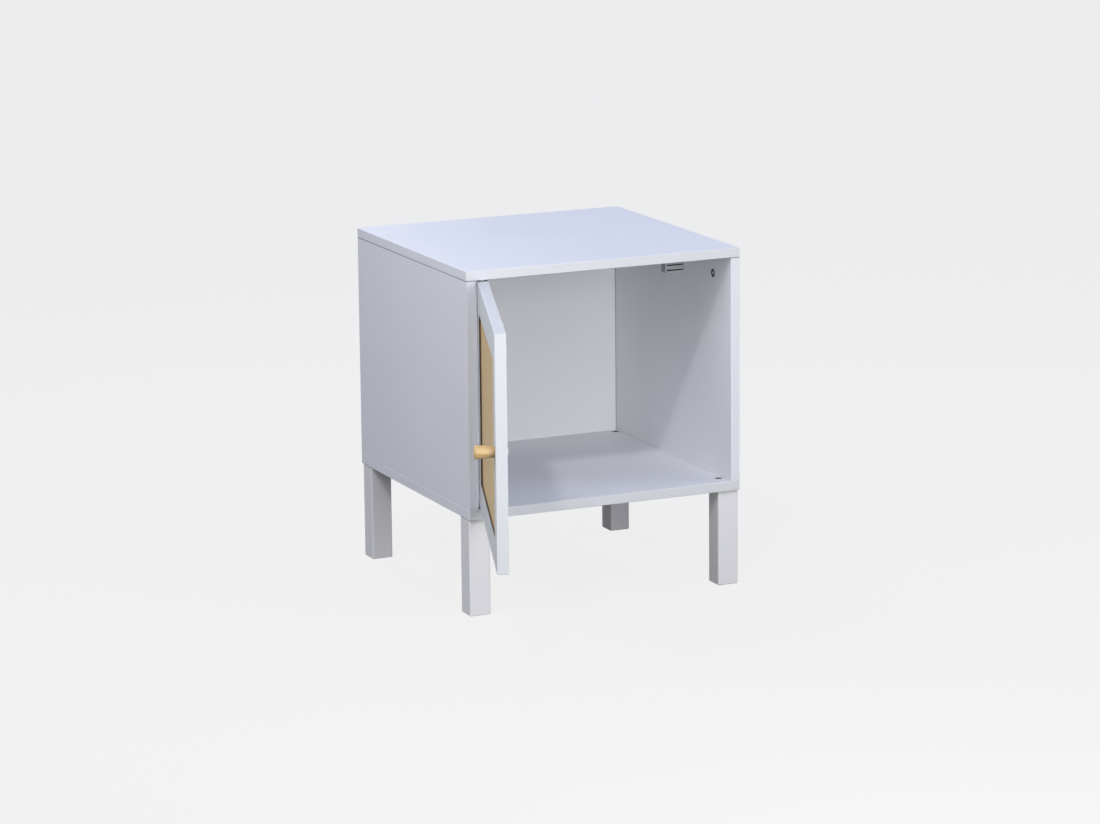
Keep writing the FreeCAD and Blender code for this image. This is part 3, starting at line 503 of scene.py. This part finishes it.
BEECH_LIGHT = (0.68, 0.50, 0.32, 1)
BEECH_DARK = (0.50, 0.34, 0.20, 1)
BEECH_FIBRES_PER_METRE = 1500
BEECH_STRETCH = 0.05
BEECH_FIBRE_HEIGHT = 0.00005
BEECH_ROUGHNESS = 0.7

beech, tree, shader = new_material("raw_beech")
fibre_place = object_place(tree, scale=(1, 1, BEECH_STRETCH))
fibres = noise(tree, fibre_place, BEECH_FIBRES_PER_METRE, detail=4)
tree.links.new(between_colours(tree, fibres, BEECH_DARK, BEECH_LIGHT), shader.inputs["Base Color"])
shader.inputs["Roughness"].default_value = BEECH_ROUGHNESS
add_bump(tree, shader, fibres, BEECH_FIBRE_HEIGHT)
finish_nodes(beech, "top_dowels", "bottom_dowels", "frame_dowels")


# ---- Side screws -------------------------------------------------------------------------------------------
# Zinc-plated flat-head screws with a cross recess, up through the bottom board into the side boards. Their
# heads lie flush in the underside.

SIDE_HEAD_DIA = 0.0084
SIDE_HEAD_HIGH = 0.003
SIDE_SHANK_DIA = 0.005
SIDE_TURNS = (0.3, 1.1)
HEAD_OUTLINE_SHARES = ((0, 0), (0.7, 0.15), (0.97, 1), (1, 1.2))
DOMED_RISE_SHARE = 0.35
FLAT_RISE_SHARE = 0.03
FLAT_NECK_SHARE = 0.55
SHANK_FROM_SHARE = 1.03
BLADE_LONG_SHARE = 0.57
BLADE_THICK_SHARE = 0.18
BLADE_DEEP_SHARE = 0.9
BLADE_TAPER = 0.7


def cross_screw(head_dia, head_high, shank_dia, length, domed=False):
    """A screw with the face of its head at z = 0, facing down, and its point up."""
    radius = head_dia / 2
    rise = head_high * (DOMED_RISE_SHARE if domed else FLAT_RISE_SHARE)
    neck = radius if domed else FLAT_NECK_SHARE * shank_dia
    solid = turned_solid(
        (
            *((out * radius, up * rise) for out, up in HEAD_OUTLINE_SHARES),
            (neck, head_high),
            (shank_dia / 2, SHANK_FROM_SHARE * head_high),
            (shank_dia / 2, length - shank_dia),
            (0, length),
        )
    )
    blade_long = BLADE_LONG_SHARE * head_dia
    blade_thick = BLADE_THICK_SHARE * blade_long
    blades = crossed_blades(blade_thick, blade_long, BLADE_DEEP_SHARE * head_high)
    deep_ends = [vert for vert in blades.verts if vert.co.z > 0]
    bmesh.ops.scale(blades, vec=(BLADE_TAPER, BLADE_TAPER, 1), verts=deep_ends)
    return cut_out(solid, blades)


screws_low, screws_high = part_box("side_screws")
side_screw = cross_screw(SIDE_HEAD_DIA, SIDE_HEAD_HIGH, SIDE_SHANK_DIA, screws_high.z - screws_low.z)
side_places = []
for x in centres(screws_low.x, screws_high.x, SIDE_HEAD_DIA):
    for y, turn in zip(centres(screws_low.y, screws_high.y, SIDE_HEAD_DIA), SIDE_TURNS):
        seat = Matrix.Translation((x, y, screws_low.z)) @ Matrix.Rotation(turn, 4, "Z")
        side_places.append((side_screw, seat))
make_piece("cabinet_side_screws", side_places, [zinc_plate], "cabinet", "side_screws")


# ---- Magnetic catch ----------------------------------------------------------------------------------------
# A moulded nylon housing screwed up under the top board, coloured dark grey as painted shade. Two dark steel
# poles stand just proud of its mouth, with a ferrite magnet between them behind a moulded bar, and the door's
# strike plate lands on the poles.

NYLON_LIGHT = (0.35, 0.36, 0.38, 1)
NYLON_SHADE = (0.31, 0.32, 0.34, 1)
NYLON_GRAIN_PER_METRE = 2600
NYLON_GRAIN_HEIGHT = 0.000015
NYLON_ROUGHNESS = 0.42
FERRITE_LIGHT = (0.09, 0.09, 0.095, 1)
FERRITE_DARK = (0.03, 0.03, 0.03, 1)
FERRITE_SPECKS_PER_METRE = 4000
FERRITE_SPECK_HEIGHT = 0.00004
FERRITE_ROUGHNESS = 0.65
BAR_ARRIS = 0.0003
BAR_CLEAR = 0.0001
CATCH_HEAD_DIA = 0.006
CATCH_HEAD_HIGH = 0.0018
CATCH_SHANK_DIA = 0.003

# Painted shade: the housing, its bar and the pivot bushes are coloured dark grey instead of their pale nylon.
shade_darkened_nylon, tree, shader = new_material("nylon_painted_shade_grey")
grain = noise(tree, object_place(tree), NYLON_GRAIN_PER_METRE, detail=2)
tree.links.new(between_colours(tree, grain, NYLON_SHADE, NYLON_LIGHT), shader.inputs["Base Color"])
shader.inputs["Roughness"].default_value = NYLON_ROUGHNESS
add_bump(tree, shader, grain, NYLON_GRAIN_HEIGHT)
finish_nodes(shade_darkened_nylon, "catch_housing")
finish_nodes(black_oxide, "catch_poles")

ferrite, tree, shader = new_material("black_ferrite")
specks = noise(tree, object_place(tree), FERRITE_SPECKS_PER_METRE, detail=3)
tree.links.new(between_colours(tree, specks, FERRITE_DARK, FERRITE_LIGHT), shader.inputs["Base Color"])
shader.inputs["Roughness"].default_value = FERRITE_ROUGHNESS
add_bump(tree, shader, specks, FERRITE_SPECK_HEIGHT)
finish_nodes(ferrite, "catch_magnet")

magnet_low, magnet_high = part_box("catch_magnet")
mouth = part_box("catch_housing")[0].y
bar_size = Vector((magnet_high.x - magnet_low.x, magnet_low.y - mouth, magnet_high.z - magnet_low.z))
bar = bmesh.new()
bmesh.ops.create_cube(bar, size=1)
bmesh.ops.scale(bar, vec=bar_size - Vector((BAR_CLEAR, BAR_CLEAR, BAR_CLEAR)), verts=bar.verts)
bmesh.ops.bevel(
    bar, geom=bar.edges, offset=BAR_ARRIS, segments=2, affect="EDGES", profile=0.5, material=-1
)
bar_mesh = bpy.data.meshes.new("bar")
bar.to_mesh(bar_mesh)
bar.free()
bar_centre = Vector(
    ((magnet_low.x + magnet_high.x) / 2, (mouth + magnet_low.y) / 2, (magnet_low.z + magnet_high.z) / 2)
)
make_piece(
    "catch_nose_bar",
    [(bar_mesh, Matrix.Translation(bar_centre))],
    [shade_darkened_nylon],
    "cabinet",
)

heads_low, heads_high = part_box("catch_screws")
catch_screw = cross_screw(
    CATCH_HEAD_DIA, CATCH_HEAD_HIGH, CATCH_SHANK_DIA, heads_high.z - heads_low.z, domed=True
)
catch_places = [
    (catch_screw, Matrix.Translation((x, heads_low.y + CATCH_HEAD_DIA / 2, heads_low.z)))
    for x in centres(heads_low.x, heads_high.x, CATCH_HEAD_DIA)
]
make_piece("catch_fixing_screws", catch_places, [zinc_plate], "cabinet", "catch_screws")


# ---- Pivot pins and bushes ---------------------------------------------------------------------------------
# Zinc-plated pins in the ends of the hinge stile turn in flanged nylon bushes pressed into the top and
# bottom boards, so no hinge shows on the outside. The bushes' dark grey is painted shade in the door's gap.

finish_nodes(zinc_plate, "upper_pivot_pin", "lower_pivot_pin")
finish_nodes(shade_darkened_nylon, "upper_pivot_bush", "lower_pivot_bush")


# ---- Door frame --------------------------------------------------------------------------------------------
# Two stiles and two rails of fibreboard, dowelled and glued. Their satin lacquer is about a fifth darker than
# the boards' as painted shade. The walls of the opening round the cane are dark brown, partly painted shade.

# Painted shade: both frame colours are darker than the boards' lacquer.
FRAME_WHITE_PAINTED_SHADE = (0.69, 0.705, 0.715, 1)
FRAME_SHADE = (0.67, 0.685, 0.695, 1)
WALL_SKIN = 0.00012
# The walls' brown is darkened to near black with painted shade from the recess.
WALL_SHADED_BROWN_DARK = (0.040, 0.024, 0.013, 1)
WALL_SHADED_BROWN_LIGHT = (0.090, 0.055, 0.030, 1)
WALL_CLOUDS_PER_METRE = 400

hinge = frame["joints"][0]
hinge_place = Vector(hinge["pos_m"])
door_turn = -math.radians(hinge["range_deg"][1])
door_place = Matrix.Translation(hinge_place) @ Matrix.Rotation(door_turn, 4, "Z")


def box_on_door(node):
    """Lowest and highest corners of a node, measured along the door's own width, thickness and height."""
    to_door = door_place.inverted()
    corners = [to_door @ vert.co for vert in nodes[node].data.vertices]
    low = Vector([min(corner[axis] for corner in corners) for axis in range(3)])
    high = Vector([max(corner[axis] for corner in corners) for axis in range(3)])
    return low, high


opening_left = box_on_door("door_hinge_stile")[1].x
opening_right = box_on_door("door_free_stile")[0].x
opening_low = box_on_door("door_bottom_rail")[1].z
opening_high = box_on_door("door_top_rail")[0].z

frame_lacquer_painted_shade, tree, shader, colour, _ = satin_lacquer("frame_lacquer_painted_shade", FRAME_WHITE_PAINTED_SHADE, FRAME_SHADE)
door_coords = object_place(tree, turn=(0, 0, door_turn), centre=hinge_place)
door_x, _, door_z = axes_of(tree, door_coords)
across = within(tree, door_x, opening_left - WALL_SKIN, opening_right + WALL_SKIN)
upward = within(tree, door_z, opening_low - WALL_SKIN, opening_high + WALL_SKIN)
inside = worked_out(tree, "MULTIPLY", across, upward)
wall_clouds = noise(tree, door_coords, WALL_CLOUDS_PER_METRE, detail=4)
shaded_wall_brown = between_colours(tree, wall_clouds, WALL_SHADED_BROWN_DARK, WALL_SHADED_BROWN_LIGHT)
finish = tree.nodes.new("ShaderNodeMix")
finish.data_type = "RGBA"
tree.links.new(inside, finish.inputs["Factor"])
tree.links.new(colour, finish.inputs["A"])
tree.links.new(shaded_wall_brown, finish.inputs["B"])
tree.links.new(finish.outputs["Result"], shader.inputs["Base Color"])
finish_nodes(frame_lacquer_painted_shade, "door_hinge_stile", "door_free_stile", "door_top_rail", "door_bottom_rail")


# ---- Woven cane --------------------------------------------------------------------------------------------
# A sheet of plain-woven split cane behind the frame's front lip. Each strand is flat at the back and rounded
# where the bark was. Its fibres run along it, and the sheet turns a little greener or rosier in patches.

WEAVE_PITCH = 0.0048
STRAND_WIDE = 0.0044
STRAND_THICK = 0.0005
STRAND_WAVE = 0.0006
WEAVE_SET_BACK = 0.0001
STEPS_PER_PITCH = 4
SHEET_LAP = 0.0022
CANE_DARK = (0.50, 0.33, 0.135, 1)
CANE_LIGHT = (0.78, 0.56, 0.27, 1)
CANE_GREENISH = (0.93, 0.98, 0.86, 1)
CANE_ROSY = (1, 0.94, 0.93, 1)
CANE_PATCHES_PER_METRE = 45
CANE_PATCH_ENDS = (0.42, 0.58)
CANE_FIBRE_STRETCH = 0.05
CANE_FIBRES_PER_UNIT = 120
CANE_FIBRE_ENDS = (0.25, 0.75)
CANE_FIBRE_HEIGHT = 0.00006
CANE_NOISE_ROUGHNESS = 0.65
CANE_ROUGHNESS = 0.42
CANE_SMOOTH_UNDER = math.radians(60)
CANE_SEED = 7
UV_STRAND_WIDE = 0.6
UV_UPRIGHTS_FROM = 100

cane_low, cane_high = box_on_door("cane_panel")
weave_depth = (cane_low.y + cane_high.y) / 2 + WEAVE_SET_BACK
sheet_left = opening_left - SHEET_LAP
sheet_low = opening_low - SHEET_LAP
sheet_wide = opening_right - opening_left + 2 * SHEET_LAP
sheet_high = opening_high - opening_low + 2 * SHEET_LAP
uprights = round(sheet_wide / WEAVE_PITCH)
crossers = round(sheet_high / WEAVE_PITCH)


def cane_strand(crossings, length, first_over):
    """One strand along X, waved over and under those it crosses. Its rounded face looks to +Z."""
    strand = bmesh.new()
    corners = ((-STRAND_WIDE / 2, 0), (0, STRAND_THICK), (STRAND_WIDE / 2, 0))
    end = strand.faces.new([strand.verts.new((0, across, up)) for across, up in corners])
    steps = crossings * STEPS_PER_PITCH
    for _ in range(steps):
        pushed = bmesh.ops.extrude_face_region(strand, geom=[end])["geom"]
        moved = [item for item in pushed if isinstance(item, bmesh.types.BMVert)]
        bmesh.ops.translate(strand, vec=(length / steps, 0, 0), verts=moved)
        end = next(item for item in pushed if isinstance(item, bmesh.types.BMFace))
    for vert in strand.verts:
        phase = math.pi * (vert.co.x / length * crossings - 0.5)
        vert.co.z += first_over * STRAND_WAVE * math.cos(phase)
    bmesh.ops.recalc_face_normals(strand, faces=strand.faces)
    mesh = bpy.data.meshes.new("strand")
    strand.to_mesh(mesh)
    strand.free()
    return mesh


weave = bmesh.new()
strand_uv = weave.loops.layers.uv.new("strand")
luck = random.Random(CANE_SEED)
face_out = Matrix.Rotation(math.pi / 2, 4, "X")
stood_up = Matrix.Rotation(-math.pi / 2, 4, "Y")
for upright, count, crossings, length in (
    (False, crossers, uprights, sheet_wide),
    (True, uprights, crossers, sheet_high),
):
    over_first = cane_strand(crossings, length, 1)
    under_first = cane_strand(crossings, length, -1)
    for number in range(count):
        first_vert = len(weave.verts)
        first_face = len(weave.faces)
        weave.from_mesh(under_first if (number + upright) % 2 else over_first)
        weave.verts.ensure_lookup_table()
        weave.faces.ensure_lookup_table()
        shift = length * luck.random() + number
        row = number + UV_UPRIGHTS_FROM * upright
        for face in weave.faces[first_face:]:
            for loop in face.loops:
                across = loop.vert.co.y / STRAND_WIDE + 0.5
                loop[strand_uv].uv = (loop.vert.co.x + shift, row + UV_STRAND_WIDE * across)
        step = (number + 0.5) * WEAVE_PITCH
        if upright:
            lay = Matrix.Translation((sheet_left + step, weave_depth, sheet_low)) @ stood_up
        else:
            lay = Matrix.Translation((sheet_left, weave_depth, sheet_low + step))
        bmesh.ops.transform(weave, matrix=door_place @ lay @ face_out, verts=weave.verts[first_vert:])
data = bpy.data.meshes.new("cane_weave")
weave.to_mesh(data)
weave.free()
data.shade_smooth()
data.set_sharp_from_angle(angle=CANE_SMOOTH_UNDER)
cane_weave = new_object("cane_weave", data)

cane, tree, shader = new_material("split_cane")
strands = tree.nodes.new("ShaderNodeUVMap")
strands.uv_map = "strand"
fibre_place = tree.nodes.new("ShaderNodeMapping")
fibre_place.inputs["Scale"].default_value = (1, CANE_FIBRE_STRETCH, 1)
tree.links.new(strands.outputs["UV"], fibre_place.inputs["Vector"])
fibres = noise(
    tree, fibre_place.outputs["Vector"], CANE_FIBRES_PER_UNIT, detail=5, roughness=CANE_NOISE_ROUGHNESS
)
base = between_colours(tree, fibres, CANE_DARK, CANE_LIGHT, CANE_FIBRE_ENDS)
patches = noise(
    tree, object_place(tree), CANE_PATCHES_PER_METRE, detail=4, roughness=CANE_NOISE_ROUGHNESS
)
tint = between_colours(tree, patches, CANE_GREENISH, CANE_ROSY, CANE_PATCH_ENDS)
tree.links.new(times(tree, base, tint), shader.inputs["Base Color"])
shader.inputs["Roughness"].default_value = CANE_ROUGHNESS
add_bump(tree, shader, fibres, CANE_FIBRE_HEIGHT)
data.materials.append(cane)
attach(cane_weave, "door")
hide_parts("cane_panel")


# ---- Backing board and beads -------------------------------------------------------------------------------
# A thin fibreboard backs the cane, and four beads pinned into the rebate behind it hold both in place. They
# have the white lacquer of the boards.

finish_nodes(board_lacquer, "door_back_board", "infill_beads")


# ---- Knob --------------------------------------------------------------------------------------------------
# A round knob turned from pale beech with its grain along its length, clear varnished, and held by one screw
# from behind the stile.

KNOB_DARK = (0.55, 0.37, 0.155, 1)
KNOB_LIGHT = (0.68, 0.475, 0.22, 1)
KNOB_PORE = (0.88, 0.84, 0.78, 1)
KNOB_CLEAR = (1, 1, 1, 1)
KNOB_GRAIN_STRETCH = 0.06
KNOB_RINGS = (("Scale", 110), ("Distortion", 3), ("Detail", 3), ("Detail Scale", 1.5))
KNOB_RING_ENDS = (0, 1)
KNOB_PITH = (0.004, 0.0, 0.012)
KNOB_PORES_PER_METRE = 1800
KNOB_PORE_ENDS = (0.35, 0.6)
KNOB_PORE_HEIGHT = 0.00003
KNOB_ROUGHNESS = 0.34
KNOB_SCREW_HEAD_DIA = 0.008
KNOB_SCREW_HEAD_HIGH = 0.0024
KNOB_SCREW_DIA = 0.004

knob_low, knob_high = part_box("knob")
knob_centre = (knob_low + knob_high) / 2
knob_wood, tree, shader = new_material("varnished_wood")
grain_place = object_place(
    tree,
    scale=(1, KNOB_GRAIN_STRETCH, 1),
    turn=(0, 0, door_turn),
    centre=knob_centre + Vector(KNOB_PITH),
)
rings = tree.nodes.new("ShaderNodeTexWave")
rings.wave_type = "RINGS"
rings.rings_direction = "Y"
for setting, value in KNOB_RINGS:
    rings.inputs[setting].default_value = value
tree.links.new(grain_place, rings.inputs["Vector"])
fibres = noise(tree, grain_place, KNOB_PORES_PER_METRE, detail=4)
ringed = between_colours(tree, rings.outputs["Fac"], KNOB_DARK, KNOB_LIGHT, KNOB_RING_ENDS)
pored = between_colours(tree, fibres, KNOB_PORE, KNOB_CLEAR, KNOB_PORE_ENDS)
tree.links.new(times(tree, ringed, pored), shader.inputs["Base Color"])
shader.inputs["Roughness"].default_value = KNOB_ROUGHNESS
add_bump(tree, shader, fibres, KNOB_PORE_HEIGHT)
finish_nodes(knob_wood, "knob")

bolt_low, bolt_high = box_on_door("knob_screw")
head_down = Matrix.Rotation(math.pi / 2, 4, "X")
knob_screw = cross_screw(
    KNOB_SCREW_HEAD_DIA, KNOB_SCREW_HEAD_HIGH, KNOB_SCREW_DIA, bolt_high.y - bolt_low.y, domed=True
)
knob_seat = Vector(((bolt_low.x + bolt_high.x) / 2, bolt_high.y, (bolt_low.z + bolt_high.z) / 2))
make_piece(
    "knob_fixing_screw",
    [(knob_screw, door_place @ Matrix.Translation(knob_seat) @ head_down)],
    [zinc_plate],
    "door",
    "knob_screw",
)


# ---- Strike plate ------------------------------------------------------------------------------------------
# A pressed plate of zinc-plated steel on the back of the top rail, held by two small cross-head screws. It
# lands on the catch's poles when the door is shut.

STRIKE_HEAD_DIA = 0.0045
STRIKE_HEAD_HIGH = 0.0009
STRIKE_SHANK_DIA = 0.0025

finish_nodes(zinc_plate, "strike_plate")
pair_low, pair_high = box_on_door("strike_screws")
strike_screw = cross_screw(
    STRIKE_HEAD_DIA, STRIKE_HEAD_HIGH, STRIKE_SHANK_DIA, pair_high.y - pair_low.y
)
strike_places = []
for x in centres(pair_low.x, pair_high.x, STRIKE_HEAD_DIA):
    seat = Vector((x, pair_high.y, (pair_low.z + pair_high.z) / 2))
    strike_places.append((strike_screw, door_place @ Matrix.Translation(seat) @ head_down))
make_piece("strike_fixing_screws", strike_places, [zinc_plate], "door", "strike_screws")


# ---- Floor -------------------------------------------------------------------------------------------------
# A wide sweep of pale seamless paper that the table stands on. It shows as an even light grey with a faint
# shadow under the legs, and throws little light back up.

FLOOR_SIZE = 60
PAPER_GREY = (0.888, 0.888, 0.888, 1)
PAPER_SHOWN = 0.93
PAPER_BOUNCE = (0.12, 0.12, 0.12, 1)


def seen_rays(tree):
    """1 for rays from the camera, and for those that it sees mirrored or through something."""
    rays = tree.nodes.new("ShaderNodeLightPath")
    seen = rays.outputs["Is Camera Ray"]
    for kind in ("Is Glossy Ray", "Is Transmission Ray"):
        seen = worked_out(tree, "ADD", seen, rays.outputs[kind], clamp=True)
    return seen


def seen_or_bounced(tree, seen, bounced):
    """One colour for the rays that are seen, and another for those that only carry light on."""
    mix = tree.nodes.new("ShaderNodeMix")
    mix.data_type = "RGBA"
    mix.inputs["A"].default_value = bounced
    mix.inputs["B"].default_value = seen
    tree.links.new(seen_rays(tree), mix.inputs["Factor"])
    return mix.outputs["Result"]


floor_shape = bmesh.new()
bmesh.ops.create_grid(floor_shape, x_segments=1, y_segments=1, size=FLOOR_SIZE / 2)
floor_data = bpy.data.meshes.new("studio_floor")
floor_shape.to_mesh(floor_data)
floor_shape.free()
studio_floor = new_object("studio_floor", floor_data)
paper, tree, output = bare_material("seamless_paper")
lit = tree.nodes.new("ShaderNodeBsdfDiffuse")
tree.links.new(seen_or_bounced(tree, PAPER_GREY, PAPER_BOUNCE), lit.inputs["Color"])
glow = tree.nodes.new("ShaderNodeEmission")
glow.inputs["Color"].default_value = PAPER_GREY
share = worked_out(tree, "MULTIPLY", seen_rays(tree), PAPER_SHOWN)
mixed = tree.nodes.new("ShaderNodeMixShader")
tree.links.new(share, mixed.inputs["Fac"])
tree.links.new(lit.outputs["BSDF"], mixed.inputs[1])
tree.links.new(glow.outputs["Emission"], mixed.inputs[2])
tree.links.new(mixed.outputs["Shader"], output.inputs["Surface"])
floor_data.materials.append(paper)


# ---- Lights ------------------------------------------------------------------------------------------------
# Seven square softboxes stand close round the table: four in front, one at each side and one behind. A
# small far lamp high at the front left draws the shadows, and a wide diffuser overhead is strongly blue.

SOFTBOX_SIZE = 0.7
SOFTBOX_AWAY = 1.7
SOFTBOX_AIM = Vector((0, 0, 0.25))
SOFTBOXES = (
    ("front_softbox", 5, 10, 11.2),
    ("front_high_softbox", 5, 32, 1.3),
    ("front_left_softbox", 35, 32, 2.7),
    ("left_softbox", 75, 32, 8.9),
    ("front_right_softbox", -60, 32, 4.8),
    ("right_softbox", -105, 20, 3.2),
    ("rear_softbox", 180, 32, 5.0),
)
FAR_LAMPS = (
    ("shadow_lamp", (0.60, 0.72, -1.0), 0.56, 4, (1, 1, 1)),
    ("overhead_diffuser", (0, 0.1, -1.0), 1.05, 120, (0.33, 0.48, 1)),
)
ROOM_LIGHT = (0, 0, 0, 1)

for name, round_left, up, power in SOFTBOXES:
    lamp = bpy.data.lights.new(name, "AREA")
    lamp.shape = "SQUARE"
    lamp.size = SOFTBOX_SIZE
    lamp.energy = power
    turned = Matrix.Rotation(-math.radians(round_left), 4, "Z") @ Matrix.Rotation(-math.radians(up), 4, "X")
    away = turned @ Vector((0, -SOFTBOX_AWAY, 0))
    facing = (-away).to_track_quat("-Z", "Y").to_matrix().to_4x4()
    softbox = new_object(name, lamp)
    softbox.matrix_world = Matrix.Translation(SOFTBOX_AIM + away) @ facing
    softbox.visible_camera = False

for name, direction, strength, softness, colour in FAR_LAMPS:
    lamp = bpy.data.lights.new(name, "SUN")
    lamp.energy = strength
    lamp.angle = math.radians(softness)
    lamp.color = colour
    far_lamp = new_object(name, lamp)
    far_lamp.matrix_world = Vector(direction).to_track_quat("-Z", "Y").to_matrix().to_4x4()

world = bpy.data.worlds.new("studio")
bpy.context.scene.world = world
world.use_nodes = True
background = world.node_tree.nodes["Background"]
room = seen_or_bounced(world.node_tree, PAPER_GREY, ROOM_LIGHT)
world.node_tree.links.new(room, background.inputs["Color"])
background.inputs["Strength"].default_value = 1


# ---- Camera ------------------------------------------------------------------------------------------------
# It stands at the left of the front, a little above the top, and far off with a long lens, so that the
# table's upright edges stay nearly parallel.

CAMERA_PLACE = (-2.3005, -5.1306, 1.4409)
CAMERA_TURN = math.radians(-24.191)
CAMERA_TILT = math.radians(90 - 12.223)
CAMERA_ROLL = math.radians(-0.573)
CAMERA_LENS = 136.44

camera = bpy.data.cameras.new("camera")
camera.lens = CAMERA_LENS
view = new_object("camera", camera)
view.matrix_world = (
    Matrix.Translation(CAMERA_PLACE)
    @ Matrix.Rotation(CAMERA_TURN, 4, "Z")
    @ Matrix.Rotation(CAMERA_TILT, 4, "X")
    @ Matrix.Rotation(CAMERA_ROLL, 4, "Z")
)
bpy.context.scene.camera = view
bpy.context.scene.view_settings.view_transform = "Standard"
